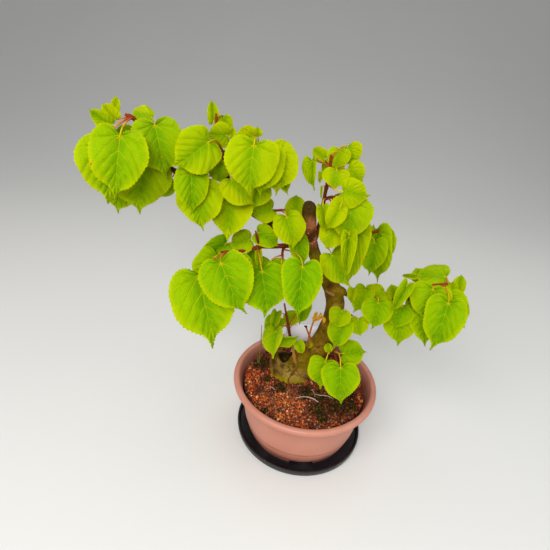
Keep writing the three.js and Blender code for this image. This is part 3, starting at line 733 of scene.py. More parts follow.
def smooth_route(stops, spacing):
    """Points along the smooth route through the stops, about one spacing apart, in millimetres."""
    length = sum(math.dist(a[:3], b[:3]) for a, b in zip(stops, stops[1:]))
    count = max(3, round(length / spacing))
    return [route_point(stops, i / count) for i in range(count + 1)]


def stem(name, route, roundness=1):
    """A closed round stem drawn along a route of [x, y, z, radius] points in millimetres."""
    line = bpy.data.curves.new(name, "CURVE")
    line.dimensions = "3D"
    line.bevel_depth = MM
    line.bevel_resolution = roundness
    line.use_fill_caps = True
    spline = line.splines.new("POLY")
    spline.points.add(len(route) - 1)
    for point, (x, y, z, radius) in zip(spline.points, route):
        point.co = (x * MM, y * MM, z * MM, 1)
        point.radius = radius
    piece = bpy.data.objects.new(name, line)
    bpy.context.collection.objects.link(piece)
    only(piece)
    bpy.ops.object.convert(target="MESH")
    piece = bpy.context.object
    apply_modifier(piece, "WELD", merge_threshold=1e-6)
    return piece


def join(name, parts):
    """Joins these meshes in one object."""
    only(parts[0])
    for part in parts[1:]:
        part.select_set(True)
    bpy.ops.object.join()
    parts[0].name = name
    return parts[0]


def wood():
    """The limbs run together as one body, hollowed at the stump and dished at the sawn top."""
    body = join("lime_trunk", [stem("limb", smooth_route(stops, 4), 6) for stops in limbs])
    apply_modifier(body, "REMESH", mode="VOXEL", voxel_size=joint_grain * MM)
    hollow = add(bpy.ops.mesh.primitive_uv_sphere_add, segments=24, ring_count=16, radius=MM)
    hollow.location = Vector(hollow_place) * MM
    hollow.scale = hollow_size
    cut_with(body, apply_place(hollow))
    for radius, depth, rise in saw_passes:
        saw = add(bpy.ops.mesh.primitive_cylinder_add, vertices=40, radius=radius * MM, depth=depth * MM)
        saw.rotation_euler = (sawn_slant, 0, 0)
        saw.location = (Vector(sawn_through) + Vector(sawn_up) * rise) * MM
        cut_with(body, apply_place(saw))
    apply_modifier(body, "REMESH", mode="VOXEL", voxel_size=bark_grain * MM)
    apply_modifier(body, "SMOOTH", factor=0.6, iterations=5)
    return body


def raise_bark(body):
    """Moves the surface in and out along shallow fissures that run with the wood, and round the scars."""
    samples = []
    for stops in limbs:
        route = smooth_route(stops, 2)
        for here, ahead in zip(route, route[1:]):
            samples.append((Vector(here[:3]), (Vector(ahead[:3]) - Vector(here[:3])).normalized()))
    tree = kdtree.KDTree(len(samples))
    for index, (centre, along) in enumerate(samples):
        tree.insert(centre, index)
    tree.balance()
    depths = []
    moves = []
    for vertex in body.data.vertices:
        place = vertex.co / MM
        centre, along = samples[tree.find(place)[1]]
        out = place - centre
        out -= along * out.dot(along)
        grain = out / fissure_width + along * (place.dot(along) / fissure_length)
        old = min(max((old_bark_top - place.z) / old_bark_fade, 0), 1)
        fissure = 1 - abs(noise.noise(grain * (1 - 0.3 * old))) * 3.2
        lump = noise.noise(place / 13) + 0.5 * noise.noise(place / 6)
        buried = min(max((buried_top - place.z) / buried_fade, 0), 1)
        depth = (0.3 + 0.6 * old) * (1 - 0.8 * buried) * max(0.0, fissure) ** 2
        height = 0.5 + (0.6 + 0.5 * old) * lump - depth + 0.14 * noise.noise(place / 1.3)
        for spot, size, rise in calluses:
            height += rise * math.exp(-((math.dist(place, spot) / size) ** 2))
        moves.append(vertex.normal * height * MM)
        depths.append(height)
    for vertex, move in zip(body.data.vertices, moves):
        vertex.co += move
    mark_points(body.data, "relief", depths)


def grown_bark(pattern, place, height, broad):
    """The bark's colours as it grew: olive below, brown above, and rosy with pale pores by the branch."""
    olive = [(0.3, srgb(62, 44, 4)), (0.5, srgb(106, 80, 10)), (0.7, srgb(146, 114, 30))]
    colour = pattern.ramp(broad, olive)
    film = pattern.clamp_between(pattern.noise(place, 28.0), 0.42, 0.66)
    colour = pattern.over(colour, film, 0.6, srgb(116, 104, 0))
    young = pattern.clamp_between(pattern.times_plus(broad, 0.02, height), brown_from * MM, brown_to * MM)
    brown = [(0.34, srgb(40, 26, 6)), (0.5, srgb(72, 50, 14)), (0.66, srgb(100, 74, 26))]
    colour = pattern.mix(young, colour, pattern.ramp(broad, brown))
    ragged_reach = pattern.times_plus(broad, 0.016, pattern.reach(place, blushed))
    blush = pattern.clamp_between(ragged_reach, 0.034, 0.02)
    rosy = [(0.38, srgb(64, 36, 12)), (0.52, srgb(128, 68, 34)), (0.62, srgb(172, 98, 62))]
    colour = pattern.over(colour, blush, 0.75, pattern.ramp(broad, rosy))
    flattened = pattern.vector_math("MULTIPLY", place, (1.0, 1.0, 3.4))[0]
    pores = pattern.clamp_between(pattern.noise(flattened, 150.0, 3.0, 0.6), 0.54, 0.64)
    return pattern.over(colour, pores, pattern.times(blush, 0.8), srgb(188, 124, 100))


def worn_bark(pattern, colour, place, height, broad):
    """The same with what age has done: healed cuts and a worn and damp foot, with painted shade in the
    creases and in and round the hollow.
    """
    for spot, size in healed:
        share = pattern.clamp_between(pattern.reach(place, spot), (size + 1.5) * MM, size * MM)
        colour = pattern.over(colour, share, 0.7, srgb(160, 110, 70))
    old = pattern.clamp_between(pattern.times_plus(broad, 0.03, height), 0.132, 0.112)
    worn = [(0.36, srgb(74, 50, 22)), (0.5, srgb(128, 98, 46)), (0.64, srgb(172, 142, 86))]
    colour = pattern.over(colour, old, 0.85, pattern.ramp(broad, worn))
    damp = pattern.clamp_between(pattern.times_plus(broad, -0.05, height), 0.077, 0.058)
    colour = pattern.mix(damp, colour, srgb(134, 122, 0))
    # Painted shade: darker in the creases of the bark.
    crease = pattern.clamp_between(pattern.mark("relief"), 0.3, -0.4)
    colour = pattern.over(colour, crease, 0.75, srgb(40, 28, 12))
    # Painted shade: dark brown in and round the hollow of the stump.
    within = pattern.vector_math("SUBTRACT", place, Vector(hollow_place) * MM)[0]
    within = pattern.vector_math("DIVIDE", within, Vector(hollow_size) * MM)[0]
    within = pattern.vector_math("LENGTH", within)[1]
    hollow_shade = pattern.clamp_between(pattern.times_plus(broad, 0.5, within), 1.62, 1.2)
    return pattern.mix(hollow_shade, colour, srgb(38, 25, 11))


def sawn_wood(pattern, place, broad):
    """The colour of the sawn face with its rings, and the share of the surface that is sawn."""
    from_saw = pattern.vector_math("SUBTRACT", place, Vector(sawn_through) * MM)[0]
    above = pattern.vector_math("DOT_PRODUCT", from_saw, sawn_up)[1]
    reach = pattern.vector_math("LENGTH", from_saw)[1]
    rings = pattern.math("SINE", pattern.times_plus(broad, 6.0, pattern.times(reach, 4200.0)))
    grain = pattern.mix(pattern.clamp_between(rings, -0.6, 0.8), srgb(28, 19, 7), srgb(78, 60, 22))
    grain = pattern.mix(pattern.clamp_between(reach, 0.0056, 0.0066), grain, srgb(58, 42, 12))
    near = pattern.clamp_between(reach, 0.012, 0.011)
    return grain, pattern.times(pattern.clamp_between(above, -0.0014, -0.0009), near)


def lime_bark():
    material, shader, pattern = new_material("lime_bark", 0.85)
    place = pattern.place()
    height = pattern.axes(place)[2]
    broad = pattern.noise(place, 60.0, 4.0, 0.6)
    fine = pattern.noise(place, 420.0, 4.0, 0.65)
    colour = grown_bark(pattern, place, height, broad)
    colour = pattern.mix(pattern.clamp_between(fine, 0.5, 0.75), colour, srgb(58, 42, 16))
    colour = worn_bark(pattern, colour, place, height, broad)
    grain, sawn = sawn_wood(pattern, place, broad)
    pattern.coat(shader, pattern.mix(sawn, colour, grain), fine, 0.6, 0.0009)
    dull(shader, 0.12, (255, 232, 160))
    return material


trunk = wood()
raise_bark(trunk)
smooth(trunk, 70)
finish_with(trunk, lime_bark())
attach(trunk, "root")
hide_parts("trunk")

# Surface roots: pale dead roots and bits of stick that lie on the soil in front of the trunk.
# Bare grey-white wood, drawn thin, half sunk between the granules.
root_bits = [
    [(-12, -36.4, 86, 0.4), (-6, -35, 87, 0.5), (1, -34.4, 87.4, 0.6), (9, -35.4, 87.2, 0.8),
     (14, -37, 86.4, 0.7), (18, -39.5, 85.4, 0.5)],
    [(14, -28.4, 87.6, 0.3), (20, -29.2, 87.6, 0.5), (27, -28.2, 87.2, 0.6), (33, -29.2, 86.6, 0.4),
     (38, -31.2, 85.6, 0.3)],
    [(10, -21, 89, 0.3), (12, -25, 87.8, 0.3), (14, -31, 86, 0.2)],
    [(-52, -18, 84.2, 0.3), (-46, -20, 85, 0.4), (-41, -24, 84.6, 0.3)],
]
root_crook = 0.6
root_crook_length = 10 / 3


def bleached_wood():
    material, shader, pattern = new_material("bleached_root", 0.8)
    grain = pattern.noise(pattern.place(), 700.0, 4.0, 0.7)
    shades = [(0.3, srgb(104, 66, 46)), (0.52, srgb(176, 150, 136)), (0.8, srgb(206, 192, 184))]
    pattern.coat(shader, pattern.ramp(grain, shades), grain, 0.5, 0.0004)
    return material


roots = join("surface_roots", [stem("root", smooth_route(stops, 1.5), 2) for stops in root_bits])
for vertex in roots.data.vertices:
    place = vertex.co / MM / root_crook_length
    bend = [noise.noise(place + Vector((0, 0, layer))) for layer in (0, 20, 40)]
    vertex.co += Vector(bend) * root_crook * MM
smooth(roots, 60)
finish_with(roots, bleached_wood())
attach(roots, "root")

# Sprays: young shoots of the year, each a red-brown twig with its leaf stalks and its soft new leaves.
# They grow from the trunk and the long branch. The leaves hang from their stalks, are heart-shaped and
# finely toothed, yellow-green with pale veins, and vary in tone from spray to spray.


def cluster(centre, turn, tilt, leaves):
    """Leaves set out in a frame of their own, which faces a way given by its turn and tilt in degrees.

    A leaf is (across, up, out, heading, length, pitch, roll, fold, width): where its base is from
    the centre in millimetres, the way its tip points (0 is up, 180 is down), its length in
    millimetres, how it lies in degrees, and its width against the usual.
    """
    return {"centre": centre, "turn": turn, "tilt": tilt, "leaves": leaves}


# Tone is 0 for deep green and 1 for yellow. A twig is its (x, y, z, radius) stops from the wood outwards.
sprays = {
    "spray_tip_left": {
        "tone": 0.52,
        "twigs": [
            [(-164, -14.5, 366, 2.8), (-173, -16, 371, 2.8), (-183, -19, 381, 2.6),
             (-192, -22, 393, 2.4), (-198, -28, 409, 2.1), (-205, -32, 421, 2), (-212, -34, 424, 1.4)],
        ],
        "clusters": [
            cluster((-210, -30, 385), 20, 15, [
                (-8, 17, 36, 190, 61, -18, 0, 12, 0.85),
                (23, 29, 17, 170, 53, -18, -8, 12, 1),
                (-20, 11, 25, 185, 58, -18, 6, 8, 0.95),
                (-7, -16, -10, 200, 45, -15, 0, 10, 1),
                (10, -4, 8, 190, 56, -15, 0, 8, 1.05),
                (37, -22, -3, 240, 31, -10, -30, 10, 1.1),
                (-18, 28, 4, 305, 24, -10, 0, 25, 0.75),
                (-13, 34, -4, 325, 20, -10, 10, 30, 0.9),
                (-13, 41, -10, 10, 18, -10, 0, 20, 0.6),
                (22, 38, -14, 285, 23, -10, 40, 5, 1.45),
                (8, 24, -16, 185, 50, 15, 180, 10, 1),
                (-14, 14, -14, 200, 42, 12, 180, 10, 1),
            ]),
        ],
    },
    "spray_upper_left": {
        "tone": 0.5,
        "twigs": [
            [(-116, -6, 354, 2.4), (-117, -10, 373, 2.2), (-121, -14, 390, 2), (-125, -18, 404, 1.8),
             (-128, -16, 419, 1.6), (-129, -14, 430, 1.2)],
        ],
        "clusters": [
            cluster((-140, -20, 390), 12, 12, [
                (5, 13, 24, 230, 44, -15, -10, 15, 1.05),
                (-12, -16, 15, 180, 43, -15, 0, 12, 0.82),
                (-4, -28, 9, 180, 50, -15, 0, 8, 0.95),
                (10, 33, -8, 355, 24, -5, 0, 30, 0.6),
                (20, 38, -4, 165, 19, -10, -20, 20, 0.9),
                (23, 20, 8, 265, 22, -10, -25, 10, 1.2),
                (15, -7, 2, 175, 22, -15, 0, 8, 1.1),
                (-1, -32, 2, 145, 25, -10, 0, 20, 0.9),
                (19, 6, -6, 210, 17, -10, 0, 10, 1.2),
                (2, 14, -24, 200, 42, 15, 180, 10, 1),
            ]),
        ],
    },
    "spray_crown_left": {
        "tone": 0.8,
        "twigs": [
            [(-106, -2, 342, 2.4), (-98, 0, 363, 2.2), (-90, -4, 384, 2), (-87, -8, 404, 1.4)],
            [(-93, -2, 374, 2), (-97, -6, 392, 1.7), (-105, -10, 406, 1.2)],
        ],
        "clusters": [
            cluster((-85, -15, 390), 5, 12, [
                (-5, 14, 32, 185, 50, -18, 0, 12, 1.05),
                (4, 11, 24, 180, 47, -18, -10, 10, 1),
                (15, 9, 14, 165, 44, -18, -12, 8, 1.1),
                (16, 9, -2, 105, 25, -10, 0, 10, 1.2),
                (24, -9, 4, 160, 28, -10, 0, 45, 0.8),
                (-5, 21, 10, 260, 21, -10, 0, 25, 1.2),
                (-26, -21, 6, 140, 37, -10, 0, 8, 0.95),
                (6, -26, -2, 205, 28, -10, 10, 10, 1),
                (-24, -38, -15, 185, 55, -6, 180, -10, 0.85),
                (-2, 12, -12, 175, 46, 15, 180, 10, 1),
                (-1, 23, 0, 350, 10, -5, 0, 25, 1),
                (-27, 19, 4, 0, 12, -5, 0, 20, 0.8),
            ]),
        ],
    },
    "spray_inner_left": {
        "tone": 0.6,
        "twigs": [
            [(-77, 3, 321, 2), (-71, -2, 330, 1.7), (-60, -8, 335, 1.4), (-52, -10, 337, 1.1)],
        ],
        "clusters": [
            cluster((-80, -5, 320), 5, 20, [
                (14, 14, 8, 250, 27, -10, 0, 10, 1.05),
                (28, 7, 26, 160, 38, -15, 0, 15, 0.95),
                (41, 9, -4, 0, 26, -5, 0, 10, 1),
            ]),
        ],
    },
    "spray_middle_left": {
        "tone": 0.35,
        "twigs": [
            [(-19, -1, 297, 3.2), (-34, -6, 295, 3), (-49, -12, 295, 3.4), (-65, -16, 294, 2.8),
             (-78, -20, 294, 2.4), (-87, -24, 291, 2.1), (-101, -29, 290, 1.9), (-118, -36, 291, 1.2)],
            [(-48, -12, 295, 1.8), (-50, -12, 287, 1.5), (-49, -15, 279, 1.2)],
            [(-76, -20, 294, 1.8), (-80, -22, 306, 1.5), (-82, -22, 314, 1.1)],
        ],
        "clusters": [
            cluster((-90, -35, 260), 6, 30, [
                (-50, 2, 14, 165, 84, -18, 0, 8, 0.85),
                (-27, 16, 30, 155, 63, -18, 0, 12, 0.92),
                (-33, 24, 1, 215, 41, -15, 8, 10, 0.95),
                (-23, 40, -12, 235, 42, -10, 0, 45, 0.9),
                (18, 10, 18, 170, 53, -18, 0, 10, 1.12),
                (61, 17, 30, 185, 59, -18, 0, 22, 0.85),
                (41, 19, 6, 170, 38, -15, 0, 8, 1.15),
                (55, 51, 13, 165, 39, -12, 0, 15, 0.65),
                (-6, 23, 8, 150, 23, -10, 0, 10, 0.9),
                (12, 52, 8, 115, 31, -8, 0, 20, 0.9),
                (4, 44, 5, 255, 27, -10, 10, 10, 1.05),
                (14, 32, 2, 175, 26, -10, 0, 50, 0.6),
                (-30, 14, -14, 175, 55, 15, 180, 10, 1),
                (30, 22, -12, 180, 44, 12, 180, 10, 1),
                (-2, 26, -22, 165, 46, 15, 180, 10, 1),
            ]),
        ],
    },
    "spray_top_right": {
        "tone": 0.6,
        "twigs": [
            [(-15, -2, 294, 3), (-11, 2, 319, 2.8), (-10, 2, 344, 2.4), (-10, -2, 360, 2.1),
             (-9, -8, 381, 1.8), (-11, -12, 401, 1.2)],
            [(-10, 1, 350, 1.7), (-2, -4, 355, 1.4), (6, -8, 356, 1.1)],
        ],
        "clusters": [
            cluster((5, -15, 350), -8, 17, [
                (2, 14, 32, 95, 28, -10, 0, 8, 1.05),
                (12, 5, 26, 175, 43, -15, -12, 10, 1.1),
                (1, -2, 36, 200, 26, -15, 0, 30, 0.9),
                (-16, -4, 14, 165, 29, -10, 0, 45, 0.8),
                (0, -24, 8, 200, 27, -15, 10, 8, 1.15),
                (15, -29, 28, 175, 48, -15, 0, 60, 0.75),
                (25, -22, 0, 180, 64, -15, 0, 45, 0.62),
                (1, -55, -12, 145, 45, -15, 0, 20, 0.85),
                (-35, 42, 7, 175, 32, -12, 25, 45, 0.85),
                (-23, 46, 0, 300, 19, -5, 0, 20, 0.9),
                (-8, 55, 8, 185, 21, -10, 0, 20, 1.25),
                (-1, 60, 2, 150, 21, -10, 0, 15, 1.4),
                (-8, 34, 20, 180, 21, -30, 0, 8, 1.3),
                (10, 10, -14, 170, 42, 15, 180, 10, 1),
                (-12, 44, -14, 190, 26, 12, 180, 10, 1),
                (16, -16, -22, 180, 44, 12, 180, 10, 1),
                (3, 38, 4, 125, 23, -5, 0, 10, 1.3),
                (-24, 31, 6, 180, 13, -5, 0, 40, 0.6),
                (-21, 16, 4, 175, 14, -5, 0, 60, 0.5),
            ]),
        ],
    },
    "spray_rear_right": {
        "tone": 0.35,
        "twigs": [
            [(4, 8, 262, 2.8), (22, 22, 275, 2.4), (41, 34, 288, 2), (54, 38, 298, 1.7),
             (68, 40, 306, 1.2)],
        ],
        "clusters": [
            cluster((70, 35, 280), -15, 22, [
                (-7, 24, 0, 165, 69, -12, 0, 35, 0.75),
                (-6, 11, 20, 175, 45, -12, 0, 15, 0.8),
                (-1, 25, -8, 155, 42, -12, 0, 20, 0.8),
                (-2, 20, -16, 185, 46, 15, 180, 10, 1),
                (-14, 20, 2, 330, 14, -5, 0, 20, 0.9),
                (-9, 22, -8, 340, 12, -5, 0, 50, 0.5),
            ]),
        ],
    },
    "spray_low_right": {
        "tone": 0.45,
        "twigs": [
            [(24, 10, 229, 3.4), (45, 14, 223, 3), (71, 12, 223, 2.6), (95, 8, 225, 2.3),
             (110, 3, 233, 2.1), (124, -4, 249, 1.9), (133, -10, 262, 1.6), (147, -14, 268, 1.1)],
        ],
        "clusters": [
            cluster((85, 0, 220), -18, 28, [
                (-8, 4, 20, 175, 35, -15, 0, 10, 1.1),
                (20, 7, 12, 185, 32, -15, 0, 8, 1.05),
                (20, -7, 4, 165, 38, -15, 0, 8, 1),
                (19, 32, 33, 195, 39, -15, 0, 50, 0.7),
                (-27, 16, 8, 190, 35, -15, 0, 12, 0.85),
                (-42, 12, 14, 175, 20, -10, 0, 20, 0.7),
                (-4, 18, 2, 215, 22, -10, 0, 8, 1.5),
                (10, 15, -8, 325, 19, -5, 0, 10, 1),
                (32, 14, -7, 160, 32, -12, 0, 20, 0.7),
                (0, 10, -18, 180, 36, 15, 180, 10, 1),
                (-20, 13, -4, 10, 13, -5, 0, 10, 1.4),
            ]),
            cluster((140, -10, 240), -24, 28, [
                (14, 4, 32, 180, 60, -18, 0, 8, 0.78),
                (12, 10, 18, 140, 41, -15, 0, 12, 0.9),
                (-6, 14, 20, 180, 42, -18, 0, 12, 1.2),
                (-5, -8, 4, 170, 50, -15, 0, 10, 0.85),
                (4, 32, 2, 265, 39, -10, 40, 8, 1.2),
                (-23, 22, -12, 320, 18, -5, 0, 10, 1.2),
                (-30, 22, 2, 260, 18, -5, 0, 60, 0.9),
                (20, 19, 2, 0, 24, -5, 0, 25, 0.75),
                (12, 26, 8, 155, 20, -5, 0, 20, 0.7),
                (8, 10, -14, 180, 50, 15, 180, 10, 1),
                (-12, 12, -23, 200, 38, 12, 180, 10, 1),
            ]),
        ],
    },
    "spray_foot_left": {
        "foot_ripeness": -0.3,
        "tone": 0.4,
        "twigs": [
            [(-12, 2, 108, 2.5), (-17, -4, 121, 2.4), (-22, -9, 143, 2.2), (-28, -11, 164, 1.8),
             (-35, -10, 192, 1.6), (-41, -10, 216, 1.1)],
        ],
        "clusters": [
            cluster((-40, -5, 175), 0, 36, [
                (-9, 19, 16, 190, 26, -10, 0, 48, 0.85),
                (-7, -4, 28, 195, 35, -12, 50, 30, 1.2),
                (-1, -13, 14, 90, 26, -10, 40, 50, 1.2),
                (17, 17, 0, 245, 23, -10, 0, 10, 0.9),
                (27, 36, -4, 190, 31, -10, 0, 20, 0.75),
                (22, -16, 4, 155, 18, -10, 0, 25, 0.9),
                (-8, 12, -12, 200, 28, 12, 180, 10, 1),
                (41, -15, -22, 205, 11, -5, 0, 20, 0.95),
            ]),
        ],
    },
    "spray_foot_right": {
        "tone": 0.3,
        "twigs": [
            [(22, 8, 160, 2), (30, -5, 149, 1.7), (38, -16, 134, 1.1)],
        ],
        "clusters": [
            cluster((35, -25, 165), -12, 38, [
                (5, -4, 0, 70, 31, -12, 0, 12, 1.15),
                (-14, -18, 14, 185, 35, -12, 0, 14, 1.2),
                (5, -20, 26, 170, 45, -12, 0, 8, 1.05),
                (-13, -5, 0, 340, 12, -5, 0, 10, 0.95),
            ]),
        ],
    },
    "spray_waist_right": {
        "tone": 0.45,
        "twigs": [
            [(27, 9, 186, 2), (38, -2, 194, 1.7), (45, -8, 208, 1.1)],
        ],
        "clusters": [
            cluster((40, -10, 195), -12, 34, [
                (-8, 14, 21, 195, 25, -12, 0, 10, 1.15),
                (-5, 2, 13, 185, 38, -12, 0, 12, 0.82),
                (13, 9, 4, 165, 24, -12, 0, 10, 1.1),
            ]),
        ],
    },
}

leaf_margin = [
    (0, 0.02), (0.1, -0.07), (0.24, -0.11), (0.38, -0.05), (0.47, 0.1), (0.495, 0.28), (0.465, 0.45),
    (0.385, 0.6), (0.26, 0.725), (0.12, 0.805), (0.045, 0.88), (0, 1),
]
leaf_clearance = 0.6
leaf_thickness = 0.35
leaf_joint = 0.045
leaf_droop = math.radians(40)
leaf_saddle = 0.25
leaf_tone_spread = 0.18
fold_taper = 0.7
tooth_reach = 0.011
tooth_notch = 0.6
vein_fan = 0.6
fan_step = 0.2
vein_step = 1 / 15
leaf_rows = 60
leaf_columns = 9
full_turn = 6.28
edge_waves = (1.8, 3.4)
edge_ruffle = (0.018, 0.042)
leaf_twist = 0.22
leaf_curl = (-0.3, 0.12)
tooth_luck = 0.012
tip_sway = (0.03, 0.11)
midrib_depth = 0.014
midrib_width = 0.02
pillow_height = 0.03
ripple_height = 0.006
young_length = 28
young_columns = 6
grown_stalk = 0.75
young_stalk = 0.55
stalk_ripeness = (0.48, 1.0)
twig_foot_ripeness = 0.1
twig_tip_ripeness = 0.42
leaf_luck = random.Random(2026)


def margin_point(share):
    """A point of the leaf's edge, for one half, from the stalk (0) round to the tip (1)."""
    points = np.array(leaf_margin)
    spans = len(points) - 1
    span = min(int(share * spans), spans - 1)
    t = share * spans - span
    start, end = points[span], points[span + 1]
    before = points[max(span - 1, 0)]
    after = points[min(span + 2, spans)]
    leaving = (end - before) / 2
    arriving = (after - start) / 2
    place = start + leaving * t + (3 * (end - start) - 2 * leaving - arriving) * t**2
    return place + (2 * (start - end) + leaving + arriving) * t**3


def flat_leaf(name, columns):
    """A leaf blade one unit long, laid flat, whose rows of faces run out along its side veins."""
    blade = add(
        bpy.ops.mesh.primitive_grid_add,
        x_subdivisions=2 * columns,
        y_subdivisions=leaf_rows,
        size=1,
    )
    blade.name = name
    mesh = blade.data
    mesh.uv_layers[0].name = "blade"
    across = []
    along = []
    for vertex in mesh.vertices:
        t = round(2 * vertex.co.x * columns) / columns
        row = round((vertex.co.y + 0.5) * leaf_rows)
        share = row / leaf_rows
        edge = margin_point(share)
        if abs(t) == 1 and 0 < row < leaf_rows:
            run = margin_point(share + 0.01) - margin_point(share - 0.01)
            outwards = np.array((run[1], -run[0])) / np.linalg.norm(run)
            edge = edge + outwards * tooth_reach * (1 if row % 2 else -tooth_notch)
        rib = 0.02 + 0.98 * max(0, (share - vein_fan) / (1 - vein_fan)) ** 0.83
        bend = (edge[0] * 0.62, rib + (edge[1] - rib) * 0.4)
        s = abs(t)
        x = 2 * s * (1 - s) * bend[0] + s * s * edge[0]
        y = (1 - s) ** 2 * rib + 2 * s * (1 - s) * bend[1] + s * s * edge[1]
        vertex.co = (math.copysign(x, t), y, 0)
        across.append(t)
        along.append(share)
    mark_points(mesh, "across", across)
    mark_points(mesh, "along", along)
    plan = mesh.uv_layers.new(name="plan")
    for loop in mesh.loops:
        x, y, z = mesh.vertices[loop.vertex_index].co
        plan.data[loop.index].uv = (x + 0.5, y * 0.8 + 0.15)
    apply_modifier(blade, "WELD", merge_threshold=1e-5)
    return blade


def is_young(place):
    """Whether this leaf is one of the small new ones at the end of a shoot."""
    return place["length"] < young_length


def leaf_place(bunch, row):
    """Where one leaf sits and which way it is turned, from its row in a cluster."""
    across, up, out, heading, length, pitch, roll, fold, width = row
    turn, tilt = math.radians(bunch["turn"]), math.radians(bunch["tilt"])
    outward = Vector((math.sin(turn) * math.cos(tilt), -math.cos(turn) * math.cos(tilt), math.sin(tilt)))
    sideways = Vector((math.cos(turn), math.sin(turn), 0))
    upward = outward.cross(sideways)
    base = Vector(bunch["centre"]) + sideways * across + upward * up + outward * out
    heading, pitch, roll, fold = (math.radians(angle) for angle in (heading, pitch, roll, fold))
    level = sideways * math.sin(heading) + upward * math.cos(heading)
    along = level * math.cos(pitch) - outward * math.sin(pitch)
    flat = (outward - along * outward.dot(along)).normalized()
    face = flat * math.cos(roll) + along.cross(flat) * math.sin(roll)
    axes = {"base": base, "along": along, "face": face, "side": along.cross(face)}
    return {**axes, "length": length, "fold": fold, "width": width}


def on_blade(place, x, y, lift=0.0):
    """Points of a leaf in space, from points of the flat blade (arrays or numbers), in millimetres."""
    base, along, face, side = (np.array(place[key]) for key in ("base", "along", "face", "side"))
    x, y = np.asarray(x, float)[..., None] * place["width"], np.asarray(y, float)[..., None]
    x = x * (1 - fold_taper * math.sin(place["fold"]) ** 2 * y)
    bend = leaf_droop * y
    lean = face * np.cos(bend) + along * np.sin(bend)
    crease = np.sqrt(x * x + 0.0009) - 0.03
    rise = crease * math.sin(place["fold"]) - leaf_saddle * x * x + np.asarray(lift, float)[..., None]
    length = place["length"]
    point = base + side * length * x * math.cos(place["fold"]) + lean * length * rise
    return point + (along * np.sin(bend) - face * (1 - np.cos(bend))) * length / leaf_droop


def leaf_tone(place, tone):
    """A leaf's own tone, from its spray's: each differs a little, and young leaves are yellower."""
    tone += leaf_luck.uniform(-leaf_tone_spread, leaf_tone_spread)
    if is_young(place):
        tone += leaf_tone_spread + 0.5 * (1 - place["length"] / young_length)
    return min(1, max(0, tone))


def leaf(model, place, tone):
    """One leaf: the flat blade bent to its attitude, with sunk veins and a softly waved edge."""
    blade = model.copy()
    blade.data = model.data.copy()
    bpy.context.collection.objects.link(blade)
    mesh = blade.data
    count = len(mesh.vertices)
    flat = np.empty(count * 3)
    mesh.vertices.foreach_get("co", flat)
    x, y = flat.reshape(-1, 3)[:, 0], flat.reshape(-1, 3)[:, 1]
    across, along = np.empty(count), np.empty(count)
    mesh.attributes["across"].data.foreach_get("value", across)
    mesh.attributes["along"].data.foreach_get("value", along)
    s = np.abs(across)
    run = np.maximum(along - vein_fan, 0) / vein_step + np.minimum(along - vein_fan, 0) / fan_step
    between = np.abs(np.sin(np.pi * run)) ** 0.7
    waves = leaf_luck.uniform(*edge_waves)
    phase = leaf_luck.uniform(0, full_turn)
    wave = np.sin(full_turn * waves * along + phase + across)
    ruffle = leaf_luck.uniform(*edge_ruffle) * s**2.2 * wave
    twist = leaf_luck.uniform(-leaf_twist, leaf_twist) * x * y
    curl = np.where(x > 0, leaf_luck.uniform(*leaf_curl), leaf_luck.uniform(*leaf_curl)) * x * x
    midrib = midrib_depth * np.exp(-((x / midrib_width) ** 2)) * (1 - y)
    pillow = pillow_height * between * np.minimum(1, 2 * s) * (1 - 0.7 * s**4)
    ripple = ripple_height * np.sin(31 * x + 7 * phase) * np.sin(27 * y + 5 * phase)
    lift = ruffle + twist + curl + pillow + ripple - midrib
    uneven = 0.035 * np.sin(full_turn * 1.4 * along + phase)
    uneven += 0.03 * np.sin(full_turn * 3.1 * along + 2 * phase + across)
    jagged = np.array([leaf_luck.uniform(-tooth_luck, tooth_luck) for _ in range(count)])
    jagged = np.where(s > 0.99, jagged, 0)
    aside = leaf_luck.choice((-1, 1)) * leaf_luck.uniform(*tip_sway)
    x = x * (1 + uneven * s) * (1 + jagged) + aside * np.clip((y - 0.7) / 0.3, 0, 1) ** 1.6
    if is_young(place):
        y = y - 0.1 * np.clip((y - 0.75) / 0.25, 0, 1) ** 2
    points = on_blade(place, x, y, lift)
    low, high = (np.array(corner) / MM for corner in cad_box)
    inwards = np.maximum(low + leaf_clearance - points.min(axis=0), 0)
    inwards -= np.maximum(points.max(axis=0) + leaf_clearance - high, 0)
    place["base"] = place["base"] + Vector(inwards)
    points += inwards
    mesh.vertices.foreach_set("co", (points * MM).ravel())
    mark_points(mesh, "tone", np.full(count, tone))
    mesh.update()
    return blade


def stalk_route(place, twigs):
    """The leaf stalk: from the nearest place on the twigs to just inside the blade."""
    base = np.array(place["base"])
    least = math.inf
    for stops in twigs:
        length = sum(math.dist(a[:3], b[:3]) for a, b in zip(stops, stops[1:]))
        for i in range(3, 25):
            reach = float(np.linalg.norm(route_point(stops, i / 24)[:3] - base))
            if reach < least:
                least = reach
                joint = (stops, max(i / 24 - 0.3 * reach / length, 0.12))
    start = route_point(*joint)[:3]
    end = on_blade(place, 0, leaf_joint)
    reach = float(np.linalg.norm(end - start))
    knee = end - np.array(place["along"]) * 0.35 * reach
    middle = start + (knee - start) * 0.55 + np.array(place["face"]) * 0.06 * reach
    slender = young_stalk if is_young(place) else grown_stalk
    route = []
    count = max(6, round(reach / 3))
    for i in range(count + 1):
        t = i / count
        spot = (1 - t) ** 3 * start + 3 * t * (1 - t) ** 2 * middle + 3 * t * t * (1 - t) * knee + t**3 * end
        swell = 0.5 * math.exp(-t * 9) + 0.15 * math.exp(-(1 - t) * 12)
        route.append((*spot, slender * (1 + swell) * (0.6 if i == count else 1)))
    return route, joint


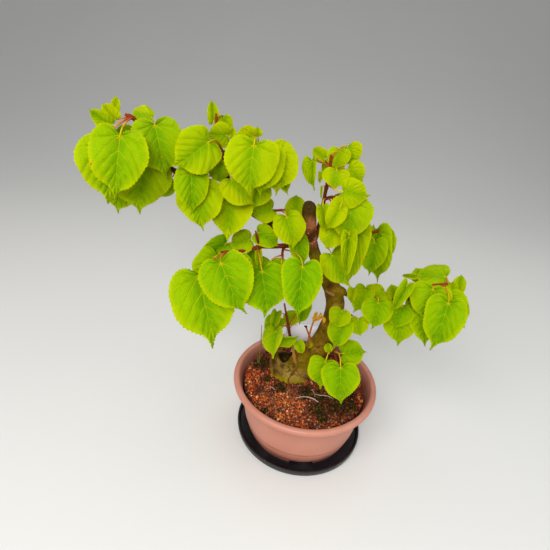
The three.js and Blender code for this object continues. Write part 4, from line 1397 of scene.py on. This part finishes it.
def ripen(piece, route, start, end):
    """Marks how ripe the stem is from its foot to its tip: 0 is brown wood and 1 is soft green."""
    points = np.array([place[:3] for place in route]) * MM
    places = np.array([vertex.co[:] for vertex in piece.data.vertices])
    nearest = np.argmin(((places[:, None] - points[None]) ** 2).sum(axis=2), axis=1)
    ripeness = start + (end - start) * nearest / (len(route) - 1)
    mark_points(piece.data, "ripeness", ripeness)


def bud(place, along, size):
    """A small pointed bud in the angle between a twig and a leaf stalk."""
    form = add(bpy.ops.mesh.primitive_uv_sphere_add, segments=7, ring_count=5, radius=size * MM)
    form.scale = (0.75, 0.75, 1.5)
    form.rotation_mode = "QUATERNION"
    form.rotation_quaternion = Vector(along).to_track_quat("Z", "Y")
    form.location = Vector(place) * MM
    apply_place(form)
    mark_points(form.data, "ripeness", [twig_tip_ripeness] * len(form.data.vertices))
    return form


def twigs_of(name, design, places):
    """The twigs, buds and leaf stalks of one spray, with a slight swelling at each joint."""
    parts = []
    joints = []
    for place in places:
        route, joint = stalk_route(place, design["twigs"])
        stalk = stem("stalk", route, 1)
        ripen(stalk, route, *stalk_ripeness)
        parts.append(stalk)
        joints.append(joint)
        here = route_point(*joint)
        away = np.array(route[1][:3]) - here[:3]
        parts.append(bud(here[:3] + away * 0.5, away, 0.5 + 0.35 * here[3]))
    for stops in design["twigs"]:
        route = smooth_route(stops, 2)
        knots = [share for twig, share in joints if twig is stops]
        for i, place in enumerate(route):
            near = min((abs(i / (len(route) - 1) - share) * len(route) * 2 for share in knots), default=99)
            place[3] = place[3] * 0.92 * (1 + 0.3 * math.exp(-((near / 2.5) ** 2)))
        twig = stem("twig", route, 2)
        ripen(twig, route, design.get("foot_ripeness", twig_foot_ripeness), twig_tip_ripeness)
        parts.append(twig)
    return join(name, parts)


def side_veins(pattern, out, run, upper):
    """Side veins, by how far out (0 to 1) and how many veins along: a fan below, ribs above."""
    away = pattern.math("ABSOLUTE", pattern.math("SUBTRACT", run, pattern.math("ROUND", run)))
    fan_width = pattern.math("DIVIDE", 0.026, pattern.math("POWER", pattern.plus(out, 0.02), 1.25))
    rib_width = pattern.times_plus(out, -0.05, 0.085)
    width = pattern.times_plus(pattern.math("SUBTRACT", rib_width, fan_width), upper, fan_width)
    veins = pattern.clamp_between(pattern.math("DIVIDE", away, width), 1.0, 0.35)
    return pattern.times(veins, pattern.clamp_between(out, 1.0, 0.85))


def forked_veins(pattern, out, run):
    """The branches that each side vein sends towards the edge of the leaf."""
    short = pattern.math("SUBTRACT", pattern.math("CEIL", run), run)
    fork = pattern.math("DIVIDE", pattern.times_plus(short, -0.75, out), 0.2)
    away = pattern.math("ABSOLUTE", pattern.math("SUBTRACT", fork, pattern.math("ROUND", fork)))
    return pattern.times(pattern.clamp_between(away, 0.1, 0.035), pattern.clamp_between(fork, 0.6, 0.9))


def leaf_green(pattern, out, centre, cloud, tip):
    """The green between the veins: deeper along the middle as painted shade by the midrib, yellower at the
    edge, and by its tone.
    """
    tone = pattern.mark("tone")
    green = pattern.mix(tone, srgb(96, 155, 0), srgb(170, 182, 0))
    deep = pattern.mix(tone, srgb(60, 124, 0), srgb(120, 156, 0))
    # Painted shade: the deeper green lies along the midrib, where the halves of the blade fold.
    paler = pattern.times_plus(cloud, 0.3, pattern.times_plus(tip, 0.4, centre))
    colour = pattern.mix(pattern.clamp_between(paler, 0.12, 0.42), deep, green)
    edge = pattern.clamp_between(pattern.times_plus(cloud, 0.2, out), 0.86, 1.12)
    return pattern.over(colour, edge, 0.6, srgb(182, 188, 0))


def leaf_skin():
    material, shader, pattern = new_material("young_lime_leaf", 0.45)
    place = pattern.place()
    plan = pattern.node("ShaderNodeUVMap", uv_map="plan").outputs[0]
    aside, beyond, _ = pattern.axes(plan)
    across, along, _ = pattern.axes(pattern.node("ShaderNodeUVMap", uv_map="blade").outputs[0])
    out = pattern.math("ABSOLUTE", pattern.times_plus(across, 2.0, -1.0))
    centre = pattern.math("ABSOLUTE", pattern.math("SUBTRACT", aside, 0.5))
    past = pattern.math("SUBTRACT", along, vein_fan)
    upper = pattern.math("GREATER_THAN", past, 0.0)
    fan_run = pattern.math("DIVIDE", pattern.math("MINIMUM", past, 0.0), fan_step)
    run = pattern.plus(pattern.math("DIVIDE", pattern.math("MAXIMUM", past, 0.0), vein_step), fan_run)
    rib_width = pattern.times_plus(beyond, -0.01, 0.013)
    midrib = pattern.clamp_between(pattern.math("DIVIDE", centre, rib_width), 1.0, 0.5)
    veins = pattern.math("MAXIMUM", midrib, pattern.times(side_veins(pattern, out, run, upper), 0.9))
    veins = pattern.math("MAXIMUM", veins, pattern.times(forked_veins(pattern, out, run), 0.55))
    rungs = {0: pattern.times(across, 26.0), 1: pattern.times(run, 2.0)}
    ladder = pattern.cells(pattern.node("ShaderNodeCombineXYZ", rungs).outputs[0], 1.0, "DISTANCE_TO_EDGE")
    small_veins = pattern.clamp_between(ladder["Distance"], 0.08, 0.02)
    net = pattern.clamp_between(pattern.cells(plan, 70.0, "DISTANCE_TO_EDGE")["Distance"], 0.12, 0.02)
    cloud = pattern.noise(place, 55.0, 3.0, 0.6)
    colour = leaf_green(pattern, out, centre, cloud, pattern.clamp_between(along, 0.8, 0.97))
    colour = pattern.over(colour, net, 0.16, srgb(60, 108, 0))
    colour = pattern.over(colour, small_veins, 0.2, srgb(160, 178, 4))
    colour = pattern.over(colour, veins, 0.46, srgb(184, 188, 14))
    joint = pattern.clamp_between(pattern.vector_math("DISTANCE", plan, (0.5, 0.18, 0.0))[1], 0.055, 0.0)
    colour = pattern.over(colour, joint, 0.6, srgb(196, 164, 12))
    rust = pattern.cells(place, 75.0)
    few = pattern.clamp_between(pattern.channel(rust["Color"], 1), 0.9, 0.92)
    colour = pattern.over(colour, pattern.clamp_between(rust["Distance"], 0.1, 0.05), few, srgb(178, 92, 16))
    relief = pattern.math("SUBTRACT", pattern.times(small_veins, -0.4), pattern.times(veins, 0.7))
    pattern.coat(shader, colour, pattern.times_plus(net, -0.25, relief), 0.6, 0.0009)
    pattern.feed(shader.inputs["Roughness"], pattern.times_plus(cloud, 0.2, 0.4))
    dull(shader, 0.12, (235, 255, 90))
    shader.inputs["Subsurface Weight"].default_value = 0.12
    shader.inputs["Subsurface Radius"].default_value = (0.5, 1.0, 0.1)
    shader.inputs["Subsurface Scale"].default_value = 0.003
    return material


def twig_skin():
    material, shader, pattern = new_material("young_lime_twig", 0.5)
    streak = pattern.noise(pattern.place(), 300.0, 4.0, 0.6)
    shades = [
        (0.0, srgb(170, 122, 52)), (0.1, srgb(74, 40, 18)), (0.3, srgb(100, 44, 18)),
        (0.45, srgb(132, 52, 22)), (0.58, srgb(172, 80, 34)), (0.78, srgb(196, 144, 26)),
        (1.0, srgb(178, 186, 10)),
    ]
    ripeness = pattern.plus(pattern.mark("ripeness"), pattern.times_plus(streak, 0.12, -0.06))
    colour = pattern.ramp(ripeness, shades)
    colour = pattern.mix(pattern.clamp_between(streak, 0.55, 0.72), colour, srgb(78, 36, 14))
    pattern.coat(shader, colour, streak, 0.3, 0.0003)
    dull(shader, 0.15, (255, 190, 120))
    return material


leaf_material = leaf_skin()
twig_material = twig_skin()
grown_leaf = flat_leaf("grown_leaf", leaf_columns)
young_leaf = flat_leaf("young_leaf", young_columns)
for name, design in sprays.items():
    places = [leaf_place(bunch, row) for bunch in design["clusters"] for row in bunch["leaves"]]
    blades = []
    for place in places:
        tone = leaf_tone(place, design["tone"])
        blades.append(leaf(young_leaf if is_young(place) else grown_leaf, place, tone))
    foliage = join(name + "_leaves", blades)
    apply_modifier(foliage, "SOLIDIFY", thickness=leaf_thickness * MM, offset=0)
    smooth(foliage, 60)
    finish_with(foliage, leaf_material)
    shoots = twigs_of(name + "_twigs", design, places)
    smooth(shoots, 60)
    finish_with(shoots, twig_material)
    for piece, slot in ((foliage, "leaf"), (shoots, "twig")):
        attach(piece, "root")
        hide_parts(name)
for model in (grown_leaf, young_leaf):
    bpy.data.objects.remove(model)

# Dried shoots: two dead side shoots that cross in front of the trunk, rooted in its bark.
# Thin brown stems, with shrivelled ochre flower buds on the longer one and a dark bud on the other.
dry_stops = [
    [(3, 6, 138, 1.4), (-3, -8, 146, 1.4), (-4, -8, 160, 1.3), (-3, -7, 178, 1.2), (-1, -7, 192, 1)],
    [(14, 6, 146, 1.4), (9, -9, 152, 1.4), (3, -9, 158, 1.2), (-4, -8, 170, 1.2), (-9, -7, 180, 1)],
]
bud_stops = [
    [(-1, -7, 190, 0.9), (-1, -9, 197, 2.8), (0, -10, 205, 2.6), (1, -10, 209, 0.9)],
    [(-1, -7, 191, 0.9), (4, -8, 197, 2.6), (6, -9, 203, 2.6), (6, -9, 207, 0.9)],
    [(0, -7, 191, 0.9), (6, -7, 199, 1.6), (12, -8, 197, 2.6), (11, -9, 190, 0.9)],
]
dark_bud_stops = [(-8, -7, 179, 0.9), (-10, -7, 182, 2.2), (-12, -8, 184, 1)]
fallen_stops = [
    (-11, -3.5, 118, 0.6), (-12.5, -7, 114, 0.8), (-15.8, -8.4, 108, 0.9), (-20.4, -10.2, 99.5, 0.8),
    (-23.6, -11.6, 93.4, 0.9), (-22.8, -14.4, 88.7, 0.8), (-21.7, -19.6, 86.5, 0.5),
]


def withered_bud(stops, ripeness):
    """A shrivelled bud: a stem that swells, with deep creases pressed into it."""
    bud_form = stem("bud", smooth_route(stops, 1), 6)
    for vertex in bud_form.data.vertices:
        vertex.co += vertex.normal * (abs(noise.noise(vertex.co * 420)) * 1.6 - 0.9) * MM
    mark_points(bud_form.data, "ripeness", [ripeness] * len(bud_form.data.vertices))
    return bud_form


def dead_twig():
    material, shader, pattern = new_material("dead_twig", 0.8)
    streak = pattern.noise(pattern.place(), 380.0, 4.0, 0.65)
    shades = [
        (0.0, srgb(104, 58, 24)), (0.2, srgb(150, 84, 36)), (0.4, srgb(192, 116, 56)),
        (0.7, srgb(84, 20, 16)), (1.0, srgb(212, 150, 20)),
    ]
    colour = pattern.ramp(pattern.mark("ripeness"), shades)
    colour = pattern.mix(pattern.clamp_between(streak, 0.48, 0.7), colour, srgb(88, 48, 16))
    pattern.coat(shader, colour, streak, 0.6, 0.0005)
    dull(shader, 0.15, (255, 200, 130))
    return material


dead_parts = [withered_bud(stops, 1.0) for stops in bud_stops] + [withered_bud(dark_bud_stops, 0.7)]
for stops, ripest in [(dry_stops[0], 0.4), (dry_stops[1], 0.2), (fallen_stops, 0.0)]:
    route = smooth_route(stops, 1.5)
    dead_stem = stem("dead_stem", route, 2)
    ripen(dead_stem, route, 0.0, ripest)
    dead_parts.append(dead_stem)
dead_shoots = join("dead_shoots", dead_parts)
smooth(dead_shoots, 60)
finish_with(dead_shoots, dead_twig())
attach(dead_shoots, "root")
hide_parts("dried_shoots")

# Plant label: a rounded plate on a pointed stake, cut from one sheet of white plastic, left bare.
# It is pushed into the soil behind the trunk and leans a little to one side.
label_place = (-8, 39.5, 138)
label_lean = math.radians(4)
label_size = (50, 28)
label_corner = 6
label_thickness = 1
label_edge = 0.25
stake_left = -11
stake_right = -3
stake_reach = 66
stake_point = 6
stake_fillet = 2


def stake_outline(foot):
    """The stake's outline from the plate's lower edge down its left side and up its right."""
    waist = foot - stake_fillet
    shoulder = stake_point - stake_reach
    left = [(stake_left - stake_fillet, foot), (stake_left, waist), (stake_left, shoulder)]
    right = [(stake_right, shoulder), (stake_right, waist), (stake_right + stake_fillet, foot)]
    return [*left, ((stake_left + stake_right) / 2, -stake_reach), *right]


def label_outline():
    """The label's outline, in millimetres, round from the top right corner."""
    middle_x = label_size[0] / 2 - label_corner
    middle_z = label_size[1] / 2 - label_corner
    points = []
    for quarter, (sx, sz) in enumerate([(1, 1), (-1, 1), (-1, -1), (1, -1)]):
        for step in range(7):
            turn = math.radians(90 * quarter + 15 * step)
            x = sx * middle_x + label_corner * math.cos(turn)
            points.append((x, sz * middle_z + label_corner * math.sin(turn)))
        if quarter == 2:
            points += stake_outline(-label_size[1] / 2)
    return points


def white_plastic():
    material, shader, pattern = new_material("white_label_plastic", 0.4)
    place = pattern.place()
    worn = use_group(pattern, plastic_wear, Place=place, Dust=0.3)
    splashed = pattern.clamp_between(pattern.axes(place)[2], 0.108, 0.084)
    colour = pattern.mix(worn["Dust"], srgb(255, 250, 255), srgb(244, 236, 250))
    colour = pattern.over(colour, splashed, 0.6, srgb(168, 128, 100))
    colour = pattern.mix(worn["Specks"], colour, srgb(140, 104, 80))
    pattern.coat(shader, colour, worn["Grain"], 0.08, 0.0003)
    return material


outline = label_outline()
sheet = bpy.data.meshes.new("bare_label")
sheet.from_pydata([(x * MM, 0, z * MM) for x, z in outline], [], [tuple(range(len(outline)))])
bare_label = bpy.data.objects.new("bare_label", sheet)
bpy.context.collection.objects.link(bare_label)
apply_modifier(bare_label, "SOLIDIFY", thickness=label_thickness * MM, offset=-1)
apply_modifier(bare_label, "BEVEL", width=label_edge * MM, segments=2, limit_method="ANGLE")
bare_label.rotation_euler = (0, label_lean, 0)
bare_label.location = Vector(label_place) * MM
smooth(apply_place(bare_label), 30)
finish_with(bare_label, white_plastic())
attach(bare_label, "root")
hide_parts("plant_label")

# Grass stem: one thin dry stem of grass that has come up in the soil behind the stump.
# It grows from a small crown of leaf bases and has faded from yellow-green to straw.
grass_stops = [(-68, 26, 70, 0.8), (-67, 32, 96, 0.8), (-67, 38, 120, 0.7), (-68, 40, 144, 0.5)]
sheath_stops = [
    [(-67, 27, 76, 0.8), (-66, 30, 92, 0.7), (-62, 30, 104, 0.2)],
    [(-68, 28, 76, 0.8), (-70, 32, 90, 0.6), (-73, 36, 99, 0.2)],
]


def dry_grass():
    material, shader, pattern = new_material("dry_grass", 0.6)
    place = pattern.place()
    streak = pattern.noise(place, 300.0)
    faded = pattern.clamp_between(pattern.axes(place)[2], 0.08, 0.145)
    faded = pattern.plus(faded, pattern.times_plus(streak, 0.3, -0.15))
    shades = [(0.0, srgb(92, 84, 26)), (0.5, srgb(124, 110, 36)), (1.0, srgb(150, 122, 52))]
    pattern.coat(shader, pattern.ramp(faded, shades), streak, 0.3, 0.0003)
    return material


blades = [stem("grass", smooth_route(stops, 3), 2) for stops in (grass_stops, *sheath_stops)]
grass = join("dry_grass_stem", blades)
smooth(grass, 60)
finish_with(grass, dry_grass())
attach(grass, "root")
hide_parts("grass_stem")

# Floor, light and camera: a plain pale floor that curves up far behind, a large soft light from the
# front left, a weaker one from the right, and the camera where the photograph was taken from.
floor_reach = 4
backdrop_height = 4
backdrop_curve = 3
camera_place = (-0.056, -0.434, 0.485)
camera_pitch = math.radians(28.5)
camera_roll = math.radians(5.6)
camera_focal = 403
image_width = 550
room_light = 0.36


def pale_paper():
    material, shader, pattern = new_material("pale_floor", 0.75)
    tone = pattern.noise(pattern.place(), 1.5, 2.0)
    pattern.feed(shader.inputs["Base Color"], pattern.mix(tone, srgb(207, 207, 203), srgb(213, 212, 208)))
    return material


def soft_light(name, place, aim, size, power, colour):
    """A square soft light at a place, turned towards the point it lights."""
    lamp = bpy.data.lights.new(name, "AREA")
    lamp.size = size
    lamp.energy = power
    lamp.color = colour
    light = bpy.data.objects.new(name, lamp)
    light.location = place
    light.rotation_euler = (Vector(aim) - Vector(place)).to_track_quat("-Z", "Y").to_euler()
    bpy.context.collection.objects.link(light)


floor = add(bpy.ops.mesh.primitive_plane_add, size=2 * floor_reach)
floor.name = "floor"
bpy.ops.object.mode_set(mode="EDIT")
bpy.ops.mesh.select_mode(type="EDGE")
form = bmesh.from_edit_mesh(floor.data)
for edge in form.edges:
    edge.select = all(vertex.co.y > 0 for vertex in edge.verts)
form.select_flush_mode()
bmesh.update_edit_mesh(floor.data)
bpy.ops.mesh.extrude_region_move(TRANSFORM_OT_translate={"value": (0, 0, backdrop_height)})
bpy.ops.object.mode_set(mode="OBJECT")
apply_modifier(floor, "BEVEL", width=backdrop_curve, segments=24, limit_method="ANGLE")
smooth(floor, 60)
finish_with(floor, pale_paper())

soft_light("key", (-0.8, -1.1, 1.4), (0, 0, 0.22), 0.9, 21, (1.0, 0.98, 0.95))
soft_light("front", (-0.15, -1.4, 1.15), (0, 0, 0.2), 0.5, 15.5, (1.0, 1.0, 1.0))
soft_light("side", (1.4, -0.5, 0.9), (0, 0, 0.2), 1.2, 7, (0.95, 0.97, 1.0))
soft_light("top", (0.1, 0.5, 1.8), (0, 0, 0.2), 1.2, 7, (1.0, 1.0, 1.0))
world = bpy.data.worlds.new("pale_room")
world.use_nodes = True
room = world.node_tree.nodes["Background"]
room.inputs["Color"].default_value = (0.95, 0.96, 1.0, 1)
room.inputs["Strength"].default_value = room_light
bpy.context.scene.world = world

lens = bpy.data.cameras.new("photo_camera")
lens.sensor_width = 36
lens.lens = camera_focal / image_width * lens.sensor_width
camera = bpy.data.objects.new("photo_camera", lens)
camera.location = camera_place
pitched = Euler((math.pi / 2 - camera_pitch, 0, 0)).to_matrix()
camera.rotation_euler = (pitched @ Euler((0, 0, camera_roll)).to_matrix()).to_euler()
bpy.context.collection.objects.link(camera)
bpy.context.scene.camera = camera
